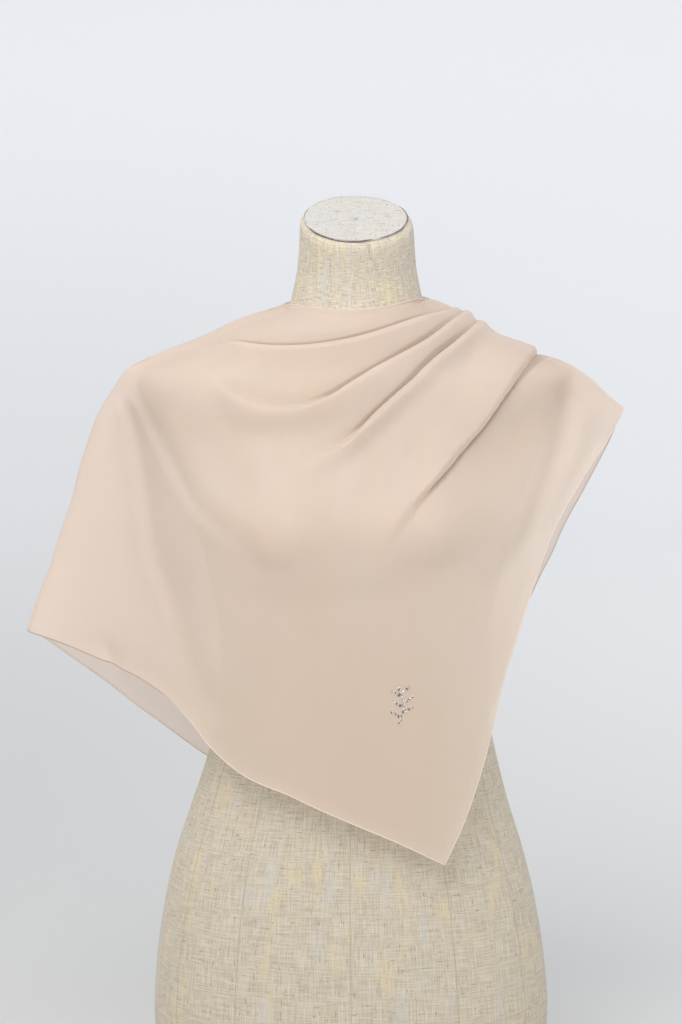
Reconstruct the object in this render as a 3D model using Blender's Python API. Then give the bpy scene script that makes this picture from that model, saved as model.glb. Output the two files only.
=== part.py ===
# A one-seam chiffon shawl that rests on a limbless dress form.
# The shawl is a rectangle folded crosswise. The fold runs down at -X, one seam lies on the +X
# shoulder, the neck opening is between them, and the hems hang open at the bottom and at +X.
# The origin is the middle of the form's flat underside, +Z is up and the front faces -Y.

import bmesh
import bpy
import numpy as np
from mathutils.bvhtree import BVHTree

FRONT, BACK = -1, 1          # the way each layer faces along Y

# Driving sizes, in metres
WALL = 0.0016                # the cloth, with its rolled hems, as a wall
SEAM_GAP = 0.0003            # between pieces that meet
LIE = {FRONT: 0.0009, BACK: 0.0038}  # from the cloth's inside to the form
SHOULDER_LIFT = 0.0020       # the cloth's extra height over the sloping shoulders
SWING_IN = 0.045             # how far the hanging cloth leans back to the form, per metre down
FORM_SEGMENTS = 32
CAP_THICKNESS = 0.0024
CAP_EDGE = 0.0008
CAP_INSET = 0.0004
SHARP_ANGLE = 70             # edges that turn more than this many degrees are shaded sharp
BUST = {"x": 0.074, "z": 0.512, "spread_x": 0.052, "spread_z": 0.060, "fullness": 0.020}

# The form's rings, from the underside up: height, half width, depth in front and behind, the
# corner power of the outline (2 is an ellipse), the middle's place and the tilt of the neck
RING_COLUMNS = ("z", "wide", "front", "back", "power", "mid_x", "mid_y", "tilt")
RINGS = (
    (0.0000, 0.1690, 0.1070, 0.1180, 2.20, -0.0033, 0.000, 0.0),
    (0.0400, 0.1725, 0.1090, 0.1205, 2.20, -0.0033, 0.000, 0.0),
    (0.0889, 0.1739, 0.1090, 0.1210, 2.20, -0.0033, 0.000, 0.0),
    (0.1345, 0.1705, 0.1070, 0.1170, 2.20, -0.0038, 0.000, 0.0),
    (0.1798, 0.1635, 0.1030, 0.1100, 2.20, -0.0042, 0.000, 0.0),
    (0.2249, 0.1530, 0.0980, 0.1010, 2.20, -0.0045, 0.000, 0.0),
    (0.2700, 0.1386, 0.0930, 0.0920, 2.20, -0.0040, 0.000, 0.0),
    (0.3100, 0.1269, 0.0890, 0.0860, 2.20, -0.0025, 0.000, 0.0),
    (0.3440, 0.1192, 0.0875, 0.0830, 2.20, -0.0015, 0.000, 0.0),
    (0.3800, 0.1158, 0.0900, 0.0830, 2.20, 0.0000, 0.000, 0.0),
    (0.4300, 0.1190, 0.0990, 0.0890, 2.25, 0.0000, 0.000, 0.0),
    (0.4800, 0.1290, 0.1110, 0.0960, 2.30, 0.0000, 0.000, 0.0),
    (0.5200, 0.1390, 0.1140, 0.1000, 2.35, 0.0000, 0.000, 0.0),
    (0.5600, 0.1515, 0.1080, 0.1010, 2.30, 0.0000, 0.000, 0.0),
    (0.5950, 0.1670, 0.1000, 0.0990, 2.15, 0.0000, 0.000, 0.0),
    (0.6200, 0.1820, 0.0950, 0.0960, 2.00, 0.0000, 0.000, 0.0),
    (0.6370, 0.1885, 0.0915, 0.0930, 1.85, 0.0000, 0.000, 0.0),
    (0.6460, 0.1865, 0.0892, 0.0915, 1.75, 0.0000, 0.000, 0.0),
    (0.6520, 0.1790, 0.0860, 0.0890, 1.65, 0.0000, 0.000, 0.0),
    (0.6600, 0.1610, 0.0830, 0.0860, 1.60, 0.0000, 0.000, 0.0),
    (0.6680, 0.1410, 0.0800, 0.0820, 1.60, 0.0000, 0.000, 0.0),
    (0.6767, 0.1210, 0.0770, 0.0775, 1.65, 0.0000, 0.000, 0.0),
    (0.6870, 0.0975, 0.0730, 0.0720, 1.75, 0.0000, 0.000, 0.0),
    (0.6945, 0.0755, 0.0670, 0.0660, 1.85, 0.0005, 0.000, 0.0),
    (0.6990, 0.0630, 0.0620, 0.0620, 1.95, 0.0010, 0.000, 0.0),
    (0.7040, 0.0588, 0.0590, 0.0590, 2.00, 0.0015, 0.000, 0.0),
    (0.7100, 0.0567, 0.0570, 0.0570, 2.00, 0.0015, 0.000, 1.0),
    (0.7220, 0.0540, 0.0545, 0.0545, 2.00, 0.0015, -0.001, 3.0),
    (0.7400, 0.0508, 0.0522, 0.0522, 2.00, 0.0015, -0.003, 9.0),
    (0.7600, 0.0493, 0.0508, 0.0508, 2.00, 0.0015, -0.006, 16.0),
    (0.7700, 0.0488, 0.0502, 0.0502, 2.00, 0.0012, -0.0075, 20.0),
    (0.7755, 0.0478, 0.0496, 0.0496, 2.00, 0.0008, -0.008, 21.0),
    (0.7783, 0.0454, 0.0474, 0.0474, 2.00, 0.0004, -0.008, 21.0),
)

# The cloth's outline seen from the front, as points (x, z). The fold and the seam lie on y = 0.
FOLD = (                     # from the hem corner up over the -X shoulder to the neck
    (-0.2863, 0.4221), (-0.2748, 0.4567), (-0.2658, 0.4787), (-0.2567, 0.5072), (-0.2466, 0.5357),
    (-0.2398, 0.5620), (-0.2320, 0.5859), (-0.2241, 0.6077), (-0.2165, 0.6212), (-0.2087, 0.6334),
    (-0.1967, 0.6500), (-0.1685, 0.6640), (-0.1382, 0.6755), (-0.1209, 0.6830), (-0.0993, 0.6937),
    (-0.0803, 0.6995), (-0.0615, 0.7048),
)
SEAM = (                     # from the neck down the +X shoulder to its free corner
    (0.0610, 0.7108), (0.0775, 0.7062), (0.0931, 0.6981), (0.1060, 0.6900), (0.1251, 0.6797),
    (0.1467, 0.6702), (0.1667, 0.6617), (0.1875, 0.6528), (0.2032, 0.6425), (0.2163, 0.6298),
    (0.2326, 0.6163),
)
NECK_EDGE = {                # height of the opening's edge by turn from the -X side, in degrees
    FRONT: ((0, 0.7050), (30, 0.7068), (65, 0.7052), (90, 0.7045), (120, 0.7070), (150, 0.7118),
            (180, 0.7108)),
    BACK: ((0, 0.7050), (40, 0.7085), (90, 0.7120), (140, 0.7125), (180, 0.7108)),
}
BOTTOM_HEM = {               # from the fold to the low corner
    FRONT: ((-0.2863, 0.4221), (-0.2541, 0.4136), (-0.2204, 0.4025), (-0.1857, 0.3901),
            (-0.1572, 0.3730), (-0.1389, 0.3556), (-0.1242, 0.3378), (-0.1088, 0.3241),
            (-0.0893, 0.3119), (-0.0574, 0.3004), (-0.0297, 0.2876), (-0.0046, 0.2765),
            (0.0372, 0.2594), (0.0751, 0.2411)),
    BACK: ((-0.2863, 0.4221), (-0.2658, 0.4027), (-0.2455, 0.3845), (-0.2277, 0.3711),
           (-0.2087, 0.3580), (-0.1914, 0.3450), (-0.1741, 0.3320), (-0.1500, 0.3115),
           (-0.1303, 0.2962), (-0.0900, 0.2760), (-0.0300, 0.2570), (0.0300, 0.2425),
           (0.0850, 0.2280)),
}
SIDE_HEM = {                 # from the low corner up to the seam's free corner, with its depth
    FRONT: ((0.0751, 0.2411, 0.125), (0.0895, 0.2708, 0.120), (0.1029, 0.3082, 0.115),
            (0.1130, 0.3457, 0.110), (0.1215, 0.3831, 0.105), (0.1283, 0.4078, 0.100),
            (0.1367, 0.4346, 0.097), (0.1462, 0.4641, 0.090), (0.1545, 0.4880, 0.083),
            (0.1628, 0.5100, 0.076), (0.1760, 0.5349, 0.065), (0.1869, 0.5507, 0.054),
            (0.1979, 0.5665, 0.042), (0.2167, 0.5901, 0.020), (0.2285, 0.6080, 0.006),
            (0.2326, 0.6163, 0.000)),
    BACK: ((0.0850, 0.2280, 0.100), (0.1190, 0.3200, 0.095), (0.1450, 0.4050, 0.085),
           (0.1689, 0.4640, 0.074), (0.1747, 0.4763, 0.068), (0.1853, 0.5047, 0.058),
           (0.2017, 0.5393, 0.045), (0.2158, 0.5713, 0.028), (0.2272, 0.5992, 0.012),
           (0.2326, 0.6163, 0.000)),
}
NECK_SHARE = 0.47            # the part of the top edge's cloth that lies at the neck

# The largest folds, each a crease line (x, z) that starts at the seam. On one side of the line
# the cloth rolls out by crest, over crest_wide, and on the other it lies in by valley; side is 1
# where the crest is above the line. head is the fold's strength at its start, and fade is where
# along it it starts to die away.
FOLD_COLUMNS = ("crest", "crest_wide", "valley", "valley_wide", "side", "head", "fade")
FOLDS = {
    FRONT: {
        "collar_roll": ((0.0050, 0.019, 0.0055, 0.018, -1, 0.30, 0.85), (
            (0.0790, 0.7025), (0.0673, 0.7007), (0.0479, 0.6979), (0.0310, 0.6933),
            (0.0142, 0.6881), (-0.0188, 0.6802), (-0.0354, 0.6776), (-0.0562, 0.6759),
            (-0.0709, 0.6757), (-0.0857, 0.6768), (-0.0987, 0.6782), (-0.1142, 0.6796),
            (-0.1289, 0.6807))),
        "second_roll": ((0.0050, 0.019, 0.0045, 0.016, -1, 0.35, 0.45), (
            (0.0893, 0.6975), (0.0777, 0.6923), (0.0666, 0.6863), (0.0559, 0.6787),
            (0.0370, 0.6697), (0.0141, 0.6578), (0.0018, 0.6515), (-0.0106, 0.6444),
            (-0.0229, 0.6367), (-0.0353, 0.6311), (-0.0497, 0.6270), (-0.0682, 0.6252),
            (-0.0869, 0.6283), (-0.1079, 0.6388))),
        "third_roll": ((0.0060, 0.016, 0.0035, 0.015, -1, 0.35, 0.60), (
            (0.1019, 0.6895), (0.0925, 0.6850), (0.0813, 0.6769), (0.0704, 0.6693),
            (0.0598, 0.6612), (0.0472, 0.6504), (0.0264, 0.6332), (0.0059, 0.6144),
            (-0.0044, 0.6040), (-0.0106, 0.5975), (-0.0208, 0.5909), (-0.0311, 0.5849),
            (-0.0454, 0.5772))),
        "shoulder_pleat": ((0.0075, 0.026, 0.0060, 0.022, 1, 0.60, 0.55), (
            (0.1690, 0.6605), (0.1586, 0.6595), (0.1448, 0.6504), (0.1287, 0.6330),
            (0.1180, 0.6181), (0.1074, 0.6043), (0.0946, 0.5906), (0.0841, 0.5791),
            (0.0756, 0.5675), (0.0590, 0.5523), (0.0466, 0.5385), (0.0364, 0.5245),
            (0.0262, 0.5080), (0.0168, 0.4957))),
    },
    BACK: {
        "back_roll": ((0.0050, 0.020, 0.0040, 0.018, -1, 0.30, 0.50), (
            (0.0900, 0.6975), (0.0500, 0.6800), (0.0100, 0.6650), (-0.0400, 0.6560),
            (-0.0900, 0.6560), (-0.1350, 0.6640))),
        "back_swag": ((0.0055, 0.024, 0.0040, 0.020, -1, 0.30, 0.40), (
            (0.1300, 0.6760), (0.0950, 0.6450), (0.0550, 0.6050), (0.0100, 0.5650),
            (-0.0400, 0.5350))),
        "back_pleat": ((0.0060, 0.028, 0.0040, 0.024, 1, 0.50, 0.40), (
            (0.1720, 0.6580), (0.1500, 0.6200), (0.1250, 0.5750), (0.0980, 0.5200),
            (0.0750, 0.4600))),
    },
}
CREASE_STEP = 0.0090         # how wide the step from valley to crest is
EDGE_CALM = 0.010            # how near the seam and the fold edge the folds die away
HEAD_REACH = 0.12            # the share of a fold's length over which it gains its full strength

# Soft troughs, and ridges where the depth is below nothing, along lines (x, z)
TROUGH_COLUMNS = ("depth", "width", "fade")
TROUGHS = {
    FRONT: {
        "arm_trough": ((0.0075, 0.015, 0.50), (
            (-0.2082, 0.6380), (-0.2036, 0.6303), (-0.1975, 0.6066), (-0.1908, 0.5721),
            (-0.1859, 0.5447), (-0.1821, 0.5190), (-0.1784, 0.4931), (-0.1711, 0.4761),
            (-0.1620, 0.4559), (-0.1513, 0.4252))),
        "chest_ridge": ((-0.0040, 0.020, 0.60), (
            (-0.1920, 0.6370), (-0.1807, 0.6271), (-0.1659, 0.6157), (-0.1513, 0.5957),
            (-0.1348, 0.5693), (-0.1167, 0.5469), (-0.0901, 0.5324), (-0.0585, 0.5259))),
        "shoulder_trough": ((0.0030, 0.008, 0.50), (
            (0.1152, 0.6790), (0.1024, 0.6711), (0.0872, 0.6630), (0.0700, 0.6516),
            (0.0533, 0.6380), (0.0409, 0.6260), (0.0182, 0.6039), (-0.0106, 0.5720))),
        "flap_trough": ((0.0060, 0.015, 0.60), (
            (0.1879, 0.6476), (0.1839, 0.6388), (0.1815, 0.6150), (0.1702, 0.5949),
            (0.1607, 0.5733), (0.1458, 0.5489), (0.1312, 0.5244), (0.1135, 0.4997),
            (0.0906, 0.4837))),
    },
    BACK: {
        "arm_trough": ((0.0070, 0.018, 0.50), (
            (-0.2082, 0.6300), (-0.1960, 0.6040), (-0.1882, 0.5749), (-0.1763, 0.5086),
            (-0.1640, 0.4300))),
        "flap_trough": ((0.0060, 0.018, 0.55), (
            (0.1970, 0.6420), (0.1724, 0.6011), (0.1587, 0.5602), (0.1450, 0.4900))),
    },
}

# How many steps each layer has: (from, to, count) along the hem and up from it
GRID = {
    FRONT: {"along": ((0.00, 0.22, 7), (0.22, 0.86, 32), (0.86, 1.00, 5)),
            "up": ((0.00, 0.54, 11), (0.54, 1.00, 31))},
    BACK: {"along": ((0.00, 1.00, 30),), "up": ((0.00, 0.56, 9), (0.56, 1.00, 19))},
}
MAP_STEP = 0.0040            # the spacing of the depth map
MAP_X = (-0.300, 0.252)
MAP_Z = (0.210, 0.728)
STEEPEST_EDGE = 2            # the most the map may slope past the fold, the seam or the hem
ROUND_OVER = 0.085           # how full the turn over the shoulders and round the fold is
ROUND_REACH = 0.012
SOFTEN = {"above": 6, "below": 90, "change_from": 0.60, "change_to": 0.50}


def remove_startup_objects():
    for thing in list(bpy.data.objects):
        bpy.data.objects.remove(thing, do_unlink=True)


def smooth_curve(known, values, wanted):
    # A smooth line through the table's points, which never overshoots them
    known, values = np.asarray(known, float), np.asarray(values, float)
    slopes = np.diff(values) / np.diff(known)
    tangents = np.zeros_like(values)
    tangents[0], tangents[-1] = slopes[0], slopes[-1]
    before, after = slopes[:-1], slopes[1:]
    same_way = before * after > 0
    inner = np.zeros_like(before)
    inner[same_way] = 2 * before[same_way] * after[same_way] / (before + after)[same_way]
    tangents[1:-1] = inner
    wanted = np.clip(wanted, known[0], known[-1])
    place = np.clip(np.searchsorted(known, wanted) - 1, 0, len(known) - 2)
    width = known[place + 1] - known[place]
    t = (wanted - known[place]) / width
    return ((2 * t**3 - 3 * t**2 + 1) * values[place] + (t**3 - 2 * t**2 + t) * width * tangents[place]
            + (3 * t**2 - 2 * t**3) * values[place + 1] + (t**3 - t**2) * width * tangents[place + 1])


def ring(name, z):
    table = np.asarray(RINGS)
    return smooth_curve(table[:, 0], table[:, RING_COLUMNS.index(name)], z)


def form_depth(x, z, side):
    # How deep the form is at x and z, in front of or behind the plane y = 0
    wide, power = ring("wide", z), ring("power", z)
    deep = ring("front" if side == FRONT else "back", z)
    across = np.clip(np.abs(x - ring("mid_x", z)) / wide, 0, 1)
    depth = deep * (1 - across**power) ** (1 / power)
    if side == FRONT:
        depth = depth + np.where(across < 1, bust_rise(x, z), 0)
    return depth


def bust_rise(x, z):
    rise = 0
    for middle in (-BUST["x"], BUST["x"]):
        across, up = (x - middle) / BUST["spread_x"], (z - BUST["z"]) / BUST["spread_z"]
        rise = rise + np.exp(-across**2 - up**2)
    return BUST["fullness"] * rise


def form_rings():
    rows = []
    turns = np.arange(FORM_SEGMENTS) * 2 * np.pi / FORM_SEGMENTS
    for values in RINGS:
        row = dict(zip(RING_COLUMNS, values))
        cos, sin = np.cos(turns), np.sin(turns)
        deep = np.where(sin < 0, row["front"], row["back"])
        x = row["wide"] * np.sign(cos) * np.abs(cos) ** (2 / row["power"])
        y = deep * np.sign(sin) * np.abs(sin) ** (2 / row["power"])
        y = np.where(sin < 0, y - bust_rise(x, row["z"]) * np.abs(sin) ** 2, y)
        x, y = x + row["mid_x"], y + row["mid_y"]
        z = row["z"] + (y - row["mid_y"]) * np.tan(np.radians(row["tilt"]))
        rows.append(np.column_stack((x, y, z)))
    return rows


def loft(rows):
    # A closed solid through rings of equal count, with a flat face at each end
    count = len(rows[0])
    points = np.vstack(rows)
    faces = [tuple(reversed(range(count))), tuple(range(len(points) - count, len(points)))]
    for level in range(len(rows) - 1):
        for step in range(count):
            low, high = level * count, (level + 1) * count
            follow = (step + 1) % count
            faces.append((low + step, low + follow, high + follow, high + step))
    return points, faces


def add_object(name, points, faces, finish):
    mesh = bpy.data.meshes.new(name)
    mesh.from_pydata([tuple(point) for point in points], [], faces)
    shape = bmesh.new()
    shape.from_mesh(mesh)
    bmesh.ops.recalc_face_normals(shape, faces=shape.faces)
    shape.to_mesh(mesh)
    shape.free()
    mesh.shade_smooth()
    mesh.set_sharp_from_angle(angle=np.radians(SHARP_ANGLE))
    thing = bpy.data.objects.new(name, mesh)
    bpy.context.scene.collection.objects.link(thing)
    mesh.materials.append(finish)
    return thing


def plain_finish(name, colour, roughness):
    finish = bpy.data.materials.new(name)
    finish.use_nodes = True
    shader = finish.node_tree.nodes["Principled BSDF"]
    shader.inputs["Base Color"].default_value = (*colour, 1)
    shader.inputs["Roughness"].default_value = roughness
    shader.inputs["Metallic"].default_value = 0
    return finish


def make_form():
    points, faces = loft(form_rings())
    return add_object("form_body", points, faces, plain_finish("linen", (0.62, 0.55, 0.40), 0.85))


def make_neck_cap():
    # A disc on the neck's tilted end, its edges eased
    row = dict(zip(RING_COLUMNS, RINGS[-1]))
    slope = np.radians(row["tilt"])
    up = np.array((0, -np.sin(slope), np.cos(slope)))
    back = np.array((0, np.cos(slope), np.sin(slope)))
    middle = np.array((row["mid_x"], row["mid_y"], row["z"])) + up * SEAM_GAP
    turns = np.arange(FORM_SEGMENTS) * 2 * np.pi / FORM_SEGMENTS
    rows = []
    for height, inset in ((0, 0), (CAP_THICKNESS - CAP_EDGE, 0), (CAP_THICKNESS, CAP_EDGE)):
        wide = row["wide"] - CAP_INSET - inset
        deep = row["front"] / np.cos(slope) - CAP_INSET - inset
        rows.append(middle + up * height + np.outer(np.cos(turns) * wide, (1, 0, 0))
                    + np.outer(np.sin(turns) * deep, back))
    points, faces = loft(rows)
    return add_object("form_neck_cap", points, faces, plain_finish("cap_cloth", (0.72, 0.70, 0.64), 0.8))


def taut_line(x, depth):
    # The tightest line over the points, as cloth spans from one high place to the next
    kept = []
    for point in zip(x, depth):
        while len(kept) > 1:
            (x0, d0), (x1, d1) = kept[-2:]
            if (x1 - x0) * (point[1] - d0) < (d1 - d0) * (point[0] - x0):
                break
            kept.pop()
        kept.append(point)
    return np.asarray(kept).T


def depth_map(side):
    # How far the cloth's outside lies from the plane y = 0, for each height and x: it hangs
    # down from the fullest place above, and is taut from the fold to the seam or hem
    fold, seam, hem = np.asarray(FOLD), np.asarray(SEAM), np.asarray(SIDE_HEM[side])
    x = np.arange(*MAP_X, MAP_STEP)
    heights = np.arange(MAP_Z[1], MAP_Z[0], -MAP_STEP)
    fullest = np.zeros_like(x)
    rows, floor = [], []
    for z in heights:
        under = form_depth(x, z - SHOULDER_LIFT, side)
        under = np.where(under > 0, under + LIE[side] + WALL, 0)
        fullest = np.maximum(fullest - SWING_IN * MAP_STEP, under)
        if z < FOLD[0][1]:
            rows.append(np.maximum(rows[-1] - SWING_IN * MAP_STEP * (rows[-1] > 0), under))
            floor.append(under)
            continue
        left = np.interp(z, fold[:, 1], fold[:, 0])
        right, right_depth = np.interp(-z, -seam[:, 1], seam[:, 0]), 0
        if z < SEAM[-1][1]:
            right, right_depth = np.interp(z, hem[:, 1], hem[:, 0]), np.interp(z, hem[:, 1], hem[:, 2])
        inside = (x > left + MAP_STEP / 2) & (x < right - MAP_STEP / 2)
        span_x = np.concatenate(((left,), x[inside], (right,)))
        span = np.concatenate(((0,), fullest[inside], (right_depth,)))
        line_x, line = taut_line(span_x, span)
        slopes = np.clip(np.diff(line) / np.diff(line_x), -STEEPEST_EDGE, STEEPEST_EDGE)
        row = np.interp(x, line_x, line)
        row = row + np.minimum(x - left, 0) * slopes[0] + np.maximum(x - right, 0) * slopes[-1]
        rows.append(row)
        floor.append(np.where(inside, under, -1))
    return x, heights[::-1], soften(np.asarray(rows), np.asarray(floor), heights)[::-1]


def soften(rows, floor, heights):
    # Rounds the cloth's turns, more so where it hangs free below the bust
    lower = ease((SOFTEN["change_from"] - heights) / (SOFTEN["change_from"] - SOFTEN["change_to"]))
    passes = SOFTEN["above"] + (SOFTEN["below"] - SOFTEN["above"]) * lower
    for turn in range(SOFTEN["below"]):
        wide = np.pad(rows, 1, mode="edge")
        soft = (wide[1:-1, :-2] + wide[1:-1, 2:] + 2 * rows) / 4
        if turn < SOFTEN["above"]:
            soft = soft / 2 + (wide[:-2, 1:-1] + wide[2:, 1:-1]) / 4
        rows = np.where((turn < passes)[:, None], np.maximum(soft, floor), rows)
    return rows


def read_map(drape, x, z):
    xs, zs, rows = drape
    column = np.clip((x - xs[0]) / MAP_STEP, 0, len(xs) - 1.001)
    level = np.clip((z - zs[0]) / MAP_STEP, 0, len(zs) - 1.001)
    i, j = column.astype(int), level.astype(int)
    u, v = column - i, level - j
    low = rows[j, i] * (1 - u) + rows[j, i + 1] * u
    high = rows[j + 1, i] * (1 - u) + rows[j + 1, i + 1] * u
    return low * (1 - v) + high * v


def by_length(points, shares):
    # Points at shares of a line's length, on a smooth curve through its points
    points = np.asarray(points, float)
    length = np.concatenate(((0,), np.cumsum(np.linalg.norm(np.diff(points, axis=0), axis=1))))
    return np.column_stack([smooth_curve(length, values, shares * length[-1]) for values in points.T])


def neck_edge(side, shares):
    table = np.asarray(NECK_EDGE[side], float)
    turn = np.radians(180 * shares)
    z = smooth_curve(table[:, 0], table[:, 1], 180 * shares)
    gap = LIE[side] + WALL
    wide = ring("wide", z) + gap
    deep = ring("front" if side == FRONT else "back", z) + gap
    x = ring("mid_x", z) - wide * np.cos(turn)
    x = np.where(shares <= 0, FOLD[-1][0], np.where(shares >= 1, SEAM[0][0], x))
    return np.column_stack((x, z, side * deep * np.sin(turn)))


def edge_curves(side, along, up):
    seam = by_length(SEAM, np.clip((along - NECK_SHARE) / (1 - NECK_SHARE), 0, 1))
    neck = neck_edge(side, np.clip(along / NECK_SHARE, 0, 1))[:, :2]
    top = np.where(along[:, None] <= NECK_SHARE, neck, seam)
    bottom = by_length(BOTTOM_HEM[side], along)
    left = by_length(FOLD, up)
    right = by_length(np.asarray(SIDE_HEM[side])[:, :2], up)
    return bottom, top, left, right


def steps(table):
    parts = [np.linspace(start, stop, count, endpoint=False) for start, stop, count in table]
    return np.append(np.concatenate(parts), table[-1][1])


def line_distance(line, x, z):
    # Signed distance from a line of points (above it is +) and the share of its length
    line = np.asarray(line, float)
    best = np.full(x.shape, np.inf)
    signed, share = np.zeros(x.shape), np.zeros(x.shape)
    pieces = np.diff(line, axis=0)
    lengths = np.linalg.norm(pieces, axis=1)
    before = np.concatenate(((0,), np.cumsum(lengths)))
    for start, piece, length, walked in zip(line[:-1], pieces, lengths, before):
        dx, dz = x - start[0], z - start[1]
        t = np.clip((dx * piece[0] + dz * piece[1]) / length**2, 0, 1)
        away = np.hypot(dx - t * piece[0], dz - t * piece[1])
        nearer = away < best
        best = np.where(nearer, away, best)
        turn = np.sign(dx * piece[1] - dz * piece[0])
        signed = np.where(nearer, away * turn, signed)
        share = np.where(nearer, (walked + t * length) / before[-1], share)
    return signed, share


def ease(value):
    value = np.clip(value, 0, 1)
    return value * value * (3 - 2 * value)


def fold_height(side, x, z):
    # How far the folds and troughs lift the cloth at x and z
    height = 0
    for sizes, line in FOLDS[side].values():
        fold = dict(zip(FOLD_COLUMNS, sizes))
        away, share = line_distance(line, x, z)
        strength = fold["head"] + (1 - fold["head"]) * ease(share / HEAD_REACH)
        strength = strength * (1 - ease((share - fold["fade"]) / (1 - fold["fade"])))
        rolled = ease(fold["side"] * away / CREASE_STEP + 0.5)
        crest = fold["crest"] * np.clip(1 - np.abs(away) / fold["crest_wide"], 0, 1) ** 2
        valley = fold["valley"] * np.clip(1 - np.abs(away) / fold["valley_wide"], 0, 1) ** 2
        height = height + strength * (rolled * crest - (1 - rolled) * valley)
    for sizes, line in TROUGHS[side].values():
        trough = dict(zip(TROUGH_COLUMNS, sizes))
        away, share = line_distance(line, x, z)
        strength = ease(share / HEAD_REACH) * (1 - ease((share - trough["fade"]) / (1 - trough["fade"])))
        height = height - strength * trough["depth"] * np.exp(-(away / trough["width"]) ** 2)
    return height


def outward_normals(grid, side):
    normal = np.cross(np.gradient(grid, axis=0), np.gradient(grid, axis=1))
    normal = normal * side * np.sign(np.mean(normal[:, :, 1]))
    return normal / np.linalg.norm(normal, axis=2, keepdims=True)


def layer_surface(side, along, up):
    # The outside of one layer: a patch between its four edges, laid at the cloth's depth
    bottom, top, left, right = edge_curves(side, along, up)
    s, t = along[:, None, None], up[None, :, None]
    flat = ((1 - t) * bottom[:, None] + t * top[:, None] + (1 - s) * left[None] + s * right[None]
            - (1 - s) * (1 - t) * bottom[0] - s * (1 - t) * bottom[-1]
            - (1 - s) * t * top[0] - s * t * top[-1])
    x, z = flat[:, :, 0], flat[:, :, 1]
    depth = read_map(depth_map(side), x, z)
    from_fold, _ = line_distance(FOLD, x, z)
    from_seam, _ = line_distance(SEAM, x, z)
    edge = np.minimum(np.abs(from_fold), np.abs(from_seam))
    depth = depth + ROUND_OVER * np.sqrt(edge) * np.exp(-edge / ROUND_REACH)
    neck = along <= NECK_SHARE
    depth[neck, -1] = side * neck_edge(side, along[neck] / NECK_SHARE)[:, 2]
    grid = np.stack((x, side * depth, z), axis=2)
    lift = fold_height(side, x, z) * ease(edge / EDGE_CALM)
    return grid + outward_normals(grid, side) * lift[:, :, None]


def keep_off(grid, form_tree, gap):
    # Moves any point that is nearer to the form than the gap straight away from it
    for point in grid.reshape(-1, 3):
        near, normal, _, away = form_tree.find_nearest(tuple(point))
        within = (point - np.asarray(near)) @ np.asarray(normal) < 0
        if within or away < gap:
            point[:] = np.asarray(near) + gap * np.asarray(normal)
    return grid


def make_layer(side, name, form_tree, finish):
    along, up = steps(GRID[side]["along"]), steps(GRID[side]["up"])
    outer = keep_off(layer_surface(side, along, up), form_tree, LIE[side] + WALL)
    rise = outward_normals(outer, side)
    meet = side * SEAM_GAP / 2
    at_seam = along >= NECK_SHARE
    outer[0, :, 1] = meet
    outer[at_seam, -1, 1] = meet
    rise[0, :, 1] = 0
    rise[at_seam, -1, 1] = 0
    rise = rise / np.linalg.norm(rise, axis=2, keepdims=True)
    inner = outer - rise * WALL
    inner[0, :, 1] = meet
    inner[at_seam, -1, 1] = meet
    return add_object(name, *wall_between(outer, inner), finish)


def wall_between(outer, inner):
    count, rows, _ = outer.shape
    points = np.vstack((outer.reshape(-1, 3), inner.reshape(-1, 3)))
    number = np.arange(count * rows).reshape(count, rows)
    shift = count * rows
    faces = []
    for i in range(count - 1):
        for j in range(rows - 1):
            corners = (number[i, j], number[i + 1, j], number[i + 1, j + 1], number[i, j + 1])
            faces.append(corners)
            faces.append(tuple(corner + shift for corner in reversed(corners)))
    rim = [*number[:-1, 0], *number[-1, :-1], *number[:0:-1, -1], *number[0, :0:-1]]
    for here, there in zip(rim, rim[1:] + rim[:1]):
        faces.append((there, here, here + shift, there + shift))
    return points, [tuple(int(corner) for corner in face) for face in faces]


def main():
    remove_startup_objects()
    form = make_form()
    make_neck_cap()
    bpy.context.view_layer.update()
    form_tree = BVHTree.FromObject(form, bpy.context.evaluated_depsgraph_get())
    chiffon = plain_finish("chiffon", (0.80, 0.66, 0.55), 0.6)
    make_layer(FRONT, "shawl_front", form_tree, chiffon)
    make_layer(BACK, "shawl_back", form_tree, chiffon)


main()
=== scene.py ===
import math

import bmesh
import bpy
import numpy as np
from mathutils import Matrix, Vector
from mathutils.bvhtree import BVHTree


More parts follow.
